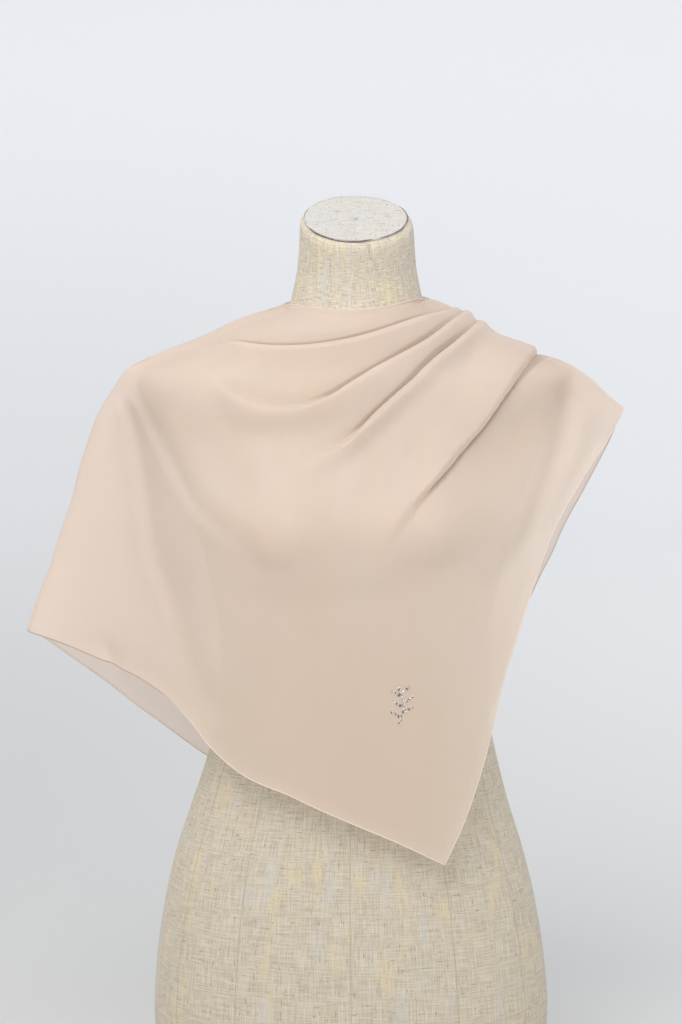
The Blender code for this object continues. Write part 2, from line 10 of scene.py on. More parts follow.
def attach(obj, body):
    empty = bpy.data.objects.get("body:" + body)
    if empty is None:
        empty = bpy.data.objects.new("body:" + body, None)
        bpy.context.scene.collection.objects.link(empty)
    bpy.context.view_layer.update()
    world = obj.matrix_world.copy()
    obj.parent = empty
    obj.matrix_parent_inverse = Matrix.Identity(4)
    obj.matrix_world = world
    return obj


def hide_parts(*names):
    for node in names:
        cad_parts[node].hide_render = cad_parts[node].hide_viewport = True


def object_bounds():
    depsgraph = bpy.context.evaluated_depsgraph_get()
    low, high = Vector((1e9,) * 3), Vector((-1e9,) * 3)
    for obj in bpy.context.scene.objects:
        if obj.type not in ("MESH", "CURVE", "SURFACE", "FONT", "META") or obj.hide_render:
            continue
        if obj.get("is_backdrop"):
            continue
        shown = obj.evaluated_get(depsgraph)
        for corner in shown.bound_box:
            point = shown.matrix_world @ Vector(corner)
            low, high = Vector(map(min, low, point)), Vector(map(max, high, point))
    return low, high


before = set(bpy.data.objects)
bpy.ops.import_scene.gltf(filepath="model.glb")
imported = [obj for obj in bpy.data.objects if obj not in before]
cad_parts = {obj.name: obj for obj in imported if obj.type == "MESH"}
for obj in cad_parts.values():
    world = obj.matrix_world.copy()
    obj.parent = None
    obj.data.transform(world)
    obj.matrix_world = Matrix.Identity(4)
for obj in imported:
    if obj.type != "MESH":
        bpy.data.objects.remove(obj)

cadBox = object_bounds()
print("frame loaded:", ", ".join(sorted(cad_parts)))

front, back = -1, 1      # the way each layer of the shawl faces along Y


def smoothCurve(known, values, wanted):
    # a smooth line through a table's points, which never overshoots them
    known, values = np.asarray(known, float), np.asarray(values, float)
    slopes = np.diff(values) / np.diff(known)
    tangents = np.zeros_like(values)
    tangents[0], tangents[-1] = slopes[0], slopes[-1]
    before, after = slopes[:-1], slopes[1:]
    sameWay = before * after > 0
    inner = np.zeros_like(before)
    inner[sameWay] = 2 * before[sameWay] * after[sameWay] / (before + after)[sameWay]
    tangents[1:-1] = inner
    wanted = np.clip(wanted, known[0], known[-1])
    place = np.clip(np.searchsorted(known, wanted) - 1, 0, len(known) - 2)
    width = known[place + 1] - known[place]
    t = (wanted - known[place]) / width
    return ((2 * t**3 - 3 * t**2 + 1) * values[place] + (t**3 - 2 * t**2 + t) * width * tangents[place]
            + (3 * t**2 - 2 * t**3) * values[place + 1] + (t**3 - t**2) * width * tangents[place + 1])


def lengthsAlong(points):
    # how far along a line each of its points lies
    return np.concatenate(((0,), np.cumsum(np.linalg.norm(np.diff(points, axis=0), axis=1))))


def byLength(points, shares):
    # points at shares of a line's length, on a smooth curve through its points
    points = np.asarray(points, float)
    length = lengthsAlong(points)
    return np.column_stack([smoothCurve(length, values, shares * length[-1]) for values in points.T])


def ease(value):
    value = np.clip(value, 0, 1)
    return value * value * (3 - 2 * value)


def lineDistance(line, x, z):
    # signed distance from a line of points (above it is +), the share of its length, and the
    # direction away from it
    line = np.asarray(line, float)
    best = np.full(x.shape, np.inf)
    signed, share, awayX, awayZ = np.zeros((4, *x.shape))
    pieces = np.diff(line, axis=0)
    lengths, before = np.linalg.norm(pieces, axis=1), lengthsAlong(line)
    for start, piece, length, walked in zip(line[:-1], pieces, lengths, before):
        dx, dz = x - start[0], z - start[1]
        t = np.clip((dx * piece[0] + dz * piece[1]) / length**2, 0, 1)
        away = np.hypot(dx - t * piece[0], dz - t * piece[1])
        nearer = away < best
        best = np.where(nearer, away, best)
        signed = np.where(nearer, away * np.sign(dx * piece[1] - dz * piece[0]), signed)
        share = np.where(nearer, (walked + t * length) / before[-1], share)
        awayX = np.where(nearer, piece[1] / length, awayX)
        awayZ = np.where(nearer, -piece[0] / length, awayZ)
    return signed, share, awayX, awayZ


def farFrom(line, x, z):
    return np.abs(lineDistance(line, x, z)[0])


def turnsRound(count):
    return np.arange(count) * 2 * np.pi / count


def placed(name, data):
    thing = bpy.data.objects.new(name, data)
    bpy.context.scene.collection.objects.link(thing)
    return thing


class Channel:
    # one output of a node tree, so that sums on it are written as sums
    def __init__(self, board, socket):
        self.board = board
        self.socket = socket

    def maths(self, operation, first, second):
        return self.board.node("ShaderNodeMath", {"operation": operation}, [first, second])

    def __add__(self, other):
        return self.maths("ADD", self, other)

    def __mul__(self, other):
        return self.maths("MULTIPLY", self, other)

    def __sub__(self, other):
        return self.maths("SUBTRACT", self, other)

    def __rsub__(self, other):
        return self.maths("SUBTRACT", other, self)

    __radd__ = __add__
    __rmul__ = __mul__

    def between(self, low, high):
        # 0 at low and 1 at high, eased
        return self.board.node("ShaderNodeMapRange", {"interpolation_type": "SMOOTHSTEP"},
                               {"Value": self, "From Min": low, "From Max": high})


class Board:
    # a node tree and the one way nodes are put in it
    def __init__(self, tree):
        self.tree = tree

    def node(self, kind, settings=None, values=None, out=0):
        made = self.tree.nodes.new(kind)
        for name, value in (settings or {}).items():
            setattr(made, name, value)
        pairs = enumerate(values) if isinstance(values, (list, tuple)) else (values or {}).items()
        for name, value in pairs:
            if isinstance(value, Channel):
                self.tree.links.new(value.socket, made.inputs[name])
            else:
                made.inputs[name].default_value = value
        return Channel(self, made.outputs[out])

    def mixColour(self, factor, first, second):
        first, second = [(*c, 1) if isinstance(c, tuple) and len(c) == 3 else c for c in (first, second)]
        return self.node("ShaderNodeMix", {"data_type": "RGBA"}, {0: factor, 6: first, 7: second}, out=2)

    def scaled(self, vector, amounts):
        return self.node("ShaderNodeVectorMath", {"operation": "MULTIPLY"}, [vector, amounts])

    def noise(self, vector, scale, detail, roughness):
        return self.node("ShaderNodeTexNoise", {"noise_dimensions": "3D"},
                         {"Vector": vector, "Scale": scale, "Detail": detail, "Roughness": roughness})

    def inObject(self):
        return self.node("ShaderNodeTexCoord", out=3)

    def onCloth(self):
        # the place on the flat cloth, from the map made with the mesh
        return self.node("ShaderNodeUVMap", {"uv_map": "clothUv"})

    def part(self, vector, axis):
        return self.node("ShaderNodeSeparateXYZ", {}, [vector], out=axis)

    def bump(self, strength, distance, height, under=None):
        values = {"Strength": strength, "Distance": distance, "Height": height}
        return self.node("ShaderNodeBump", {}, {**values, "Normal": under} if under else values)


def newMaterial(name, colour, constants):
    # a material with one Principled shader; constants go on its own sockets
    material = bpy.data.materials.new(name)
    material.use_nodes = True
    board = Board(material.node_tree)
    shader = material.node_tree.nodes["Principled BSDF"]
    shader.inputs["Base Color"].default_value = (*colour, 1)
    for socket, value in constants.items():
        shader.inputs[socket].default_value = value
    return material, board, shader


def feed(board, shader, socket, channel):
    board.tree.links.new(channel.socket, shader.inputs[socket])


def geometryTree(name, inputs):
    # an empty Geometry Nodes tree with named number inputs and a finish
    tree = bpy.data.node_groups.new(name, "GeometryNodeTree")
    tree.interface.new_socket(name="Geometry", in_out="INPUT", socket_type="NodeSocketGeometry")
    for label, value in inputs.items():
        kind = "NodeSocketInt" if isinstance(value, int) else "NodeSocketFloat"
        tree.interface.new_socket(name=label, in_out="INPUT", socket_type=kind).default_value = value
    tree.interface.new_socket(name="Finish", in_out="INPUT", socket_type="NodeSocketMaterial")
    tree.interface.new_socket(name="Geometry", in_out="OUTPUT", socket_type="NodeSocketGeometry")
    board = Board(tree)
    start = tree.nodes.new("NodeGroupInput")
    sockets = {socket.name: Channel(board, socket) for socket in start.outputs if socket.name}
    return tree, board, sockets


def endTree(board, shape, finish):
    whole = board.node("GeometryNodeRealizeInstances", {}, {"Geometry": shape})
    whole = board.node("GeometryNodeSetMaterial", {}, {"Geometry": whole, "Material": finish})
    end = board.tree.nodes.new("NodeGroupOutput")
    board.tree.links.new(whole.socket, end.inputs[0])


def plainMesh(name, carrier, tree, values, finish):
    # runs a tree on a carrier mesh and keeps the result as a plain mesh
    modifier = carrier.modifiers.new("shape", "NODES")
    modifier.node_group = tree
    for item in tree.interface.items_tree:
        if item.in_out == "INPUT" and item.name in values:
            modifier[item.identifier] = values[item.name]
        if item.in_out == "INPUT" and item.name == "Finish":
            modifier[item.identifier] = finish
    seen = carrier.evaluated_get(bpy.context.evaluated_depsgraph_get())
    mesh = bpy.data.meshes.new_from_object(seen)
    mesh.name = name
    carrier.modifiers.remove(modifier)
    bpy.data.objects.remove(carrier, do_unlink=True)
    return placed(name, mesh)


def carrierMesh(name, points, edges=(), faces=()):
    mesh = bpy.data.meshes.new(name)
    mesh.from_pydata([tuple(map(float, point)) for point in points], list(edges), list(faces))
    return placed(name, mesh)


def pathCarrier(name, paths):
    # one mesh of loose edges that holds several paths
    points, edges = [], []
    for path in paths:
        start = len(points)
        points.extend(path)
        edges.extend((start + i, start + i + 1) for i in range(len(path) - 1))
    return carrierMesh(name, points, edges)


def ringCarrier(name, points):
    # one closed ring of loose edges
    count = len(points)
    return carrierMesh(name, points, [(i, (i + 1) % count) for i in range(count)])


# the form's rings from the underside up: half width, depth in front and behind, squareness, the
# ring's middle, and how far it tilts in degrees
form = {
    "columns": ("z", "wide", "front", "back", "power", "midX", "midY", "tilt"),
    "rings": (
        (0.0000, 0.1690, 0.1070, 0.1180, 2.20, -0.0033, 0.000, 0.0),
        (0.0400, 0.1725, 0.1090, 0.1205, 2.20, -0.0033, 0.000, 0.0),
        (0.0889, 0.1739, 0.1090, 0.1210, 2.20, -0.0033, 0.000, 0.0),
        (0.1345, 0.1705, 0.1070, 0.1170, 2.20, -0.0038, 0.000, 0.0),
        (0.1798, 0.1635, 0.1030, 0.1100, 2.20, -0.0042, 0.000, 0.0),
        (0.2249, 0.1530, 0.0980, 0.1010, 2.20, -0.0045, 0.000, 0.0),
        (0.2700, 0.1386, 0.0930, 0.0920, 2.20, -0.0040, 0.000, 0.0),
        (0.3100, 0.1269, 0.0890, 0.0860, 2.20, -0.0025, 0.000, 0.0),
        (0.3440, 0.1192, 0.0875, 0.0830, 2.20, -0.0015, 0.000, 0.0),
        (0.3800, 0.1158, 0.0900, 0.0830, 2.20, 0.0000, 0.000, 0.0),
        (0.4300, 0.1190, 0.0990, 0.0890, 2.25, 0.0000, 0.000, 0.0),
        (0.4800, 0.1290, 0.1110, 0.0960, 2.30, 0.0000, 0.000, 0.0),
        (0.5200, 0.1390, 0.1140, 0.1000, 2.35, 0.0000, 0.000, 0.0),
        (0.5600, 0.1515, 0.1080, 0.1010, 2.30, 0.0000, 0.000, 0.0),
        (0.5950, 0.1670, 0.1000, 0.0990, 2.15, 0.0000, 0.000, 0.0),
        (0.6200, 0.1820, 0.0950, 0.0960, 2.00, 0.0000, 0.000, 0.0),
        (0.6370, 0.1885, 0.0915, 0.0930, 1.85, 0.0000, 0.000, 0.0),
        (0.6460, 0.1865, 0.0892, 0.0915, 1.75, 0.0000, 0.000, 0.0),
        (0.6520, 0.1790, 0.0860, 0.0890, 1.65, 0.0000, 0.000, 0.0),
        (0.6600, 0.1610, 0.0830, 0.0860, 1.60, 0.0000, 0.000, 0.0),
        (0.6680, 0.1410, 0.0800, 0.0820, 1.60, 0.0000, 0.000, 0.0),
        (0.6767, 0.1210, 0.0770, 0.0775, 1.65, 0.0000, 0.000, 0.0),
        (0.6870, 0.0975, 0.0730, 0.0720, 1.75, 0.0000, 0.000, 0.0),
        (0.6945, 0.0755, 0.0670, 0.0660, 1.85, 0.0005, 0.000, 0.0),
        (0.6990, 0.0630, 0.0620, 0.0620, 1.95, 0.0010, 0.000, 0.0),
        (0.7040, 0.0588, 0.0590, 0.0590, 2.00, 0.0015, 0.000, 0.0),
        (0.7100, 0.0567, 0.0570, 0.0570, 2.00, 0.0015, 0.000, 1.0),
        (0.7220, 0.0540, 0.0545, 0.0545, 2.00, 0.0015, -0.001, 3.0),
        (0.7400, 0.0508, 0.0522, 0.0522, 2.00, 0.0015, -0.003, 9.0),
        (0.7600, 0.0493, 0.0508, 0.0508, 2.00, 0.0015, -0.006, 16.0),
        (0.7700, 0.0488, 0.0502, 0.0502, 2.00, 0.0012, -0.0075, 20.0),
        (0.7755, 0.0478, 0.0496, 0.0496, 2.00, 0.0008, -0.008, 21.0),
        (0.7783, 0.0454, 0.0474, 0.0474, 2.00, 0.0004, -0.008, 21.0),
    ),
    "bust": {"x": 0.074, "z": 0.512, "spreadX": 0.052, "spreadZ": 0.060, "fullness": 0.020},
    "around": 144,           # columns of the body
    "rowStep": 0.004, "rowsLeast": 2, "rowsMost": 12,      # rows of the body between two rings
    "baseEdge": 0.0030,      # how the underside's edge is eased
    "girthAt": 0.2,          # the height whose girth sets the width of the cloth map
    "sharpFrom": 55,         # degrees
}
formTable = np.asarray(form["rings"])


def ring(name, z):
    return smoothCurve(formTable[:, 0], formTable[:, form["columns"].index(name)], z)


def bustRise(x, z):
    bust = form["bust"]
    rise = 0
    for middle in (-bust["x"], bust["x"]):
        across, up = (x - middle) / bust["spreadX"], (z - bust["z"]) / bust["spreadZ"]
        rise = rise + np.exp(-across**2 - up**2)
    return bust["fullness"] * rise


def formDepth(x, z, side):
    # how deep the form is at x and z, in front of or behind the plane y = 0
    wide, power = ring("wide", z), ring("power", z)
    deep = ring("front" if side == front else "back", z)
    across = np.clip(np.abs(x - ring("midX", z)) / wide, 0, 1)
    depth = deep * (1 - across**power) ** (1 / power)
    if side == front:
        depth = depth + np.where(across < 1, bustRise(x, z), 0)
    return depth


def formPoint(z, turns, inset=0.0):
    # points round the form at one height; turns are angles in radians
    row = {name: float(ring(name, z)) for name in form["columns"]}
    cos, sin = np.cos(turns), np.sin(turns)
    deep = np.where(sin < 0, row["front"], row["back"]) - inset
    x = (row["wide"] - inset) * np.sign(cos) * np.abs(cos) ** (2 / row["power"])
    y = deep * np.sign(sin) * np.abs(sin) ** (2 / row["power"])
    y = np.where(sin < 0, y - bustRise(x, row["z"]) * np.abs(sin) ** 2, y)
    x, y = x + row["midX"], y + row["midY"]
    height = row["z"] + (y - row["midY"]) * math.tan(math.radians(row["tilt"]))
    return np.column_stack((x, y, height))


def formHeights():
    known = formTable[:, 0]
    heights = []
    for low, high in zip(known[:-1], known[1:]):
        count = int(round((high - low) / form["rowStep"]))
        count = max(form["rowsLeast"], min(form["rowsMost"], count))
        heights.extend(np.linspace(low, high, count, endpoint=False))
    return np.append(heights, known[-1])


def makeFormBody():
    turns = turnsRound(form["around"])
    rows = [formPoint(0.0, turns, form["baseEdge"])]
    for z in formHeights():
        points = formPoint(z, turns)
        if z == 0:
            points[:, 2] += form["baseEdge"]
        rows.append(points)
    girth = formPoint(form["girthAt"], turns)
    around = lengthsAlong(np.vstack((girth, girth[:1])))
    shape = bmesh.new()
    grid = [[shape.verts.new(tuple(point)) for point in points] for points in rows]
    layer = shape.loops.layers.uv.new("clothUv")
    for level in range(len(grid) - 1):
        for step in range(form["around"]):
            follow = (step + 1) % form["around"]
            face = shape.faces.new((grid[level][step], grid[level][follow],
                                    grid[level + 1][follow], grid[level + 1][step]))
            for loop, (column, row) in zip(face.loops, ((step, level), (step + 1, level),
                                                        (step + 1, level + 1), (step, level + 1))):
                loop[layer].uv = (float(around[column]), float(rows[row][0][2]) if row else 0.0)
    shape.faces.new(list(reversed(grid[0])))
    shape.faces.new(grid[-1])
    bmesh.ops.recalc_face_normals(shape, faces=shape.faces)
    mesh = bpy.data.meshes.new("formLinenBody")
    shape.to_mesh(mesh)
    shape.free()
    mesh.shade_smooth()
    mesh.set_sharp_from_angle(angle=math.radians(form["sharpFrom"]))
    return placed("formLinenBody", mesh)


formBody = makeFormBody()
bpy.context.view_layer.update()
formTree = BVHTree.FromObject(formBody, bpy.context.evaluated_depsgraph_get())
print("dress form:", len(formBody.data.polygons), "faces")


shawl = {
    "lie": {front: 0.0009, back: 0.0038},     # from the cloth to the form
    "wall": 0.0016,                           # the solids' wall, which sets where the outside is
    "shoulderLift": 0.0020,                   # from the shoulders up to the cloth
    "swingIn": 0.045,                         # how fast free cloth swings back in, by its fall
    "neckShare": 0.47,                        # the part of the top edge that lies at the neck
    "nearest": 0.0011,                        # the least gap between cloth and form
    "panel": (0.45, 0.45),                    # each layer's cut, across and down
    "roundOver": 0.085, "roundReach": 0.012,  # the turn over the shoulders and round the fold
    "edgeStart": 0.0015,                      # how soon the depth rises from the fold and the seam
    "topFrom": 0.97, "topOver": 0.03,         # where the cloth turns into the neck opening's edge
    # the depth map, and how often it is softened above and below the bust
    "mapStep": 0.0040, "mapX": (-0.300, 0.252), "mapZ": (0.210, 0.728), "steepest": 2,
    "soften": {"above": 6, "below": 90, "changeFrom": 0.60, "changeTo": 0.50},
    "rollEdge": 0.12, "rollRadius": 0.0045,   # the rounded front of a roll
    "softOver": 0.30,                         # the share of a crease over which it turns soft
    # painted shade: how far it reaches from a crease's line, and how much of it goes where soft
    "shadeReach": 0.0010, "softShade": 0.7,   # the shade in a crease, and its loss where soft
    "seamMatch": 0.012,                       # how near the seam both layers' folds agree
    "neckEnd": 0.06, "neckCalm": 0.016,       # how near the neck opening the folds die away
    "foldCalm": 0.024,                        # how near the folded side the folds die away
    "neckRoll": {"height": 0.0016, "edge": 0.0014, "reach": 0.009, "end": 0.10},
    "hemCurl": {"height": 0.0014, "reach": 0.007, "topFree": 0.02, "topFrom": 0.9, "topOver": 0.1},
    "normalStep": 0.0025,                     # the step that feels the cloth's slope
    "cells": (120, 130),                      # along the hem and up from it
    "edgeCells": (0.0004, 0.0014, 0.0032, 0.0057, 0.0090, 0.0130, 0.0180, 0.0240),   # in from an edge
    # cells nearer than this to a sharp crease are halved, as far along as it stays sharp; cells
    # above seamCells are the seam's
    "fine": {front: (0.0080, 0.0044), back: (0.0070,)},
    "sharpStep": 0.005, "finePast": 0.2, "fineLeast": 0.5, "seamCells": 0.985,
    "weld": 0.00002,                          # joins the points that both layers share
}

# the cloth's outline seen from the front, as points (x, z); the fold and the seam lie on y = 0
foldLine = (
    (-0.2863, 0.4221), (-0.2748, 0.4567), (-0.2658, 0.4787), (-0.2567, 0.5072), (-0.2466, 0.5357),
    (-0.2398, 0.5620), (-0.2320, 0.5859), (-0.2241, 0.6077), (-0.2165, 0.6212), (-0.2087, 0.6334),
    (-0.1967, 0.6500), (-0.1685, 0.6640), (-0.1382, 0.6755), (-0.1209, 0.6830), (-0.0993, 0.6937),
    (-0.0803, 0.6995), (-0.0615, 0.7048),
)
seamLine = (
    (0.0610, 0.7108), (0.0775, 0.7062), (0.0931, 0.6981), (0.1060, 0.6900), (0.1251, 0.6797),
    (0.1467, 0.6702), (0.1667, 0.6617), (0.1875, 0.6528), (0.2032, 0.6425), (0.2163, 0.6298),
    (0.2326, 0.6163),
)
neckEdge = {      # height of the opening's edge by turn from the -X side, in degrees
    front: ((0, 0.7050), (30, 0.7068), (65, 0.7052), (90, 0.7048), (120, 0.7080), (150, 0.7122),
            (180, 0.7108)),
    back: ((0, 0.7050), (40, 0.7080), (90, 0.7105), (140, 0.7110), (180, 0.7108)),
}
bottomHem = {
    front: ((-0.2863, 0.4221), (-0.2541, 0.4136), (-0.2204, 0.4025), (-0.1857, 0.3901),
            (-0.1572, 0.3730), (-0.1389, 0.3556), (-0.1242, 0.3378), (-0.1088, 0.3241),
            (-0.0893, 0.3119), (-0.0574, 0.3004), (-0.0297, 0.2876), (-0.0046, 0.2765),
            (0.0372, 0.2582), (0.0751, 0.2386)),
    back: ((-0.2863, 0.4221), (-0.2658, 0.4082), (-0.2455, 0.3922), (-0.2277, 0.3781),
           (-0.2087, 0.3618), (-0.1914, 0.3462), (-0.1741, 0.3320), (-0.1500, 0.3115),
           (-0.1303, 0.2962), (-0.0900, 0.2760), (-0.0300, 0.2570), (0.0300, 0.2425),
           (0.0850, 0.2280)),
}
sideHem = {       # from the low corner up to the seam's free corner, with its depth
    front: ((0.0751, 0.2386, 0.125), (0.0895, 0.2700, 0.120), (0.1029, 0.3082, 0.115),
            (0.1130, 0.3457, 0.110), (0.1215, 0.3831, 0.105), (0.1283, 0.4078, 0.100),
            (0.1367, 0.4346, 0.097), (0.1462, 0.4641, 0.090), (0.1545, 0.4880, 0.083),
            (0.1628, 0.5100, 0.076), (0.1760, 0.5349, 0.065), (0.1869, 0.5507, 0.054),
            (0.1979, 0.5665, 0.042), (0.2167, 0.5901, 0.020), (0.2285, 0.6080, 0.006),
            (0.2326, 0.6163, 0.000)),
    back: ((0.0850, 0.2280, 0.100), (0.1190, 0.3200, 0.095), (0.1450, 0.4050, 0.085),
           (0.1689, 0.4640, 0.074), (0.1747, 0.4763, 0.068), (0.1853, 0.5047, 0.058),
           (0.2017, 0.5393, 0.045), (0.2158, 0.5713, 0.028), (0.2272, 0.5992, 0.012),
           (0.2326, 0.6163, 0.000)),
}

# creases: the cloth rolls out by crest on one side of the line (side is 1 for above or to the
# left) and lies in by valley on the other; lip is how far the crest hangs over, and past soft
# the step between them widens from step to wide; a crease starts with the share head of its
# strength, has all of it after reach and loses it past fade, and shade is how dark the shade
# painted into the cloth's colour along its line is
creaseColumns = ("crest", "crestWide", "valley", "valleyWide", "side", "lip", "step", "wide",
                 "soft", "head", "reach", "fade", "shade")
creases = {
    front: {
        "collarRoll": (
            (0.0062, 0.024, 0.0054, 0.016, -1, 0.0080, 0.0030, 0.006, 0.80, 0.20, 0.25, 0.84, 0.95), (
            (0.0920, 0.7050), (0.0790, 0.7022), (0.0673, 0.7007), (0.0479, 0.6979), (0.0310, 0.6933),
            (0.0142, 0.6881), (-0.0023, 0.6838), (-0.0188, 0.6802), (-0.0354, 0.6776),
            (-0.0562, 0.6759), (-0.0709, 0.6757), (-0.0857, 0.6768), (-0.0987, 0.6782),
            (-0.1142, 0.6796), (-0.1289, 0.6807))),
        "secondRoll": (
            (0.0060, 0.022, 0.0050, 0.014, -1, 0.0075, 0.0030, 0.022, 0.42, 0.35, 0.20, 0.62, 0.90), (
            (0.1010, 0.7030), (0.0893, 0.6975), (0.0777, 0.6923), (0.0666, 0.6863), (0.0559, 0.6787),
            (0.0475, 0.6748), (0.0370, 0.6697), (0.0266, 0.6642), (0.0141, 0.6578),
            (0.0018, 0.6515), (-0.0106, 0.6444), (-0.0229, 0.6367), (-0.0353, 0.6311),
            (-0.0497, 0.6270), (-0.0682, 0.6252), (-0.0869, 0.6283), (-0.1079, 0.6388),
            (-0.1275, 0.6558), (-0.1399, 0.6650))),
        "thirdRoll": (
            (0.0066, 0.015, 0.0048, 0.013, -1, 0.0066, 0.0030, 0.020, 0.56, 0.35, 0.20, 0.66, 0.95), (
            (0.1120, 0.6943), (0.1019, 0.6895), (0.0925, 0.6850), (0.0813, 0.6769), (0.0704, 0.6693),
            (0.0598, 0.6612), (0.0472, 0.6504), (0.0368, 0.6422), (0.0264, 0.6332),
            (0.0162, 0.6242), (0.0059, 0.6144), (-0.0044, 0.6040), (-0.0106, 0.5975),
            (-0.0208, 0.5909), (-0.0311, 0.5849), (-0.0454, 0.5772), (-0.0604, 0.5722))),
        "shoulderPleat": (
            (0.0068, 0.028, 0.0048, 0.010, 1, 0.0090, 0.0030, 0.014, 0.55, 0.40, 0.12, 0.62, 1.00), (
            (0.1780, 0.6640), (0.1690, 0.6618), (0.1647, 0.6612), (0.1586, 0.6598), (0.1516, 0.6562),
            (0.1448, 0.6504), (0.1396, 0.6447), (0.1287, 0.6330), (0.1180, 0.6181),
            (0.1074, 0.6043), (0.0946, 0.5906), (0.0841, 0.5791), (0.0756, 0.5675),
            (0.0590, 0.5523), (0.0466, 0.5385), (0.0364, 0.5245), (0.0262, 0.5080),
            (0.0168, 0.4957))),
        "armCrease": (
            (0.0018, 0.018, 0.0050, 0.024, 1, 0.0010, 0.0080, 0.020, 0.40, 0.50, 0.12, 0.45, 0.20), (
            (-0.2067, 0.6420), (-0.2036, 0.6303), (-0.1975, 0.6066), (-0.1937, 0.5928),
            (-0.1908, 0.5721), (-0.1859, 0.5447), (-0.1821, 0.5190), (-0.1784, 0.4931),
            (-0.1711, 0.4761), (-0.1620, 0.4559), (-0.1513, 0.4252), (-0.1384, 0.3988),
            (-0.1264, 0.3758))),
        "armEdge": (
            (0.0026, 0.024, 0.0018, 0.022, 1, 0.0000, 0.0120, 0.020, 0.50, 0.30, 0.12, 0.60, 0.00), (
            (-0.2016, 0.6420), (-0.1883, 0.6263), (-0.1770, 0.6027), (-0.1621, 0.5776),
            (-0.1511, 0.5612), (-0.1346, 0.5387), (-0.1167, 0.5231), (-0.0937, 0.5078),
            (-0.0778, 0.4996))),
    },
    back: {
        "collarRoll": (
            (0.0050, 0.018, 0.0050, 0.021, -1, 0.0062, 0.0030, 0.012, 0.50, 0.20, 0.30, 0.60, 0.70), (
            (0.0920, 0.7050), (0.0790, 0.7022), (0.0673, 0.7007), (0.0420, 0.6960), (0.0100, 0.6870),
            (-0.0250, 0.6800), (-0.0600, 0.6780), (-0.0950, 0.6800), (-0.1250, 0.6820))),
        "secondRoll": (
            (0.0052, 0.020, 0.0045, 0.019, -1, 0.0056, 0.0030, 0.020, 0.30, 0.35, 0.20, 0.50, 0.70), (
            (0.1010, 0.7030), (0.0893, 0.6975), (0.0777, 0.6923), (0.0520, 0.6800), (0.0200, 0.6640),
            (-0.0150, 0.6520), (-0.0550, 0.6450), (-0.0950, 0.6500), (-0.1350, 0.6640))),
        "thirdRoll": (
            (0.0060, 0.018, 0.0038, 0.016, -1, 0.0050, 0.0030, 0.020, 0.35, 0.35, 0.20, 0.50, 0.70), (
            (0.1120, 0.6943), (0.1019, 0.6895), (0.0925, 0.6850), (0.0720, 0.6690), (0.0450, 0.6420),
            (0.0150, 0.6100), (-0.0180, 0.5800), (-0.0600, 0.5580))),
        "shoulderPleat": (
            (0.0070, 0.028, 0.0060, 0.018, 1, 0.0080, 0.0030, 0.016, 0.30, 0.40, 0.12, 0.40, 0.80), (
            (0.1780, 0.6640), (0.1690, 0.6618), (0.1647, 0.6612), (0.1560, 0.6500), (0.1440, 0.6250),
            (0.1280, 0.5900), (0.1100, 0.5450), (0.0900, 0.4950), (0.0720, 0.4500))),
        "armCrease": (
            (0.0018, 0.018, 0.0060, 0.022, 1, 0.0008, 0.0070, 0.020, 0.40, 0.50, 0.12, 0.45, 0.20), (
            (-0.2067, 0.6400), (-0.1990, 0.6150), (-0.1920, 0.5850), (-0.1850, 0.5450),
            (-0.1760, 0.4900), (-0.1620, 0.4250), (-0.1450, 0.3700))),
    },
}
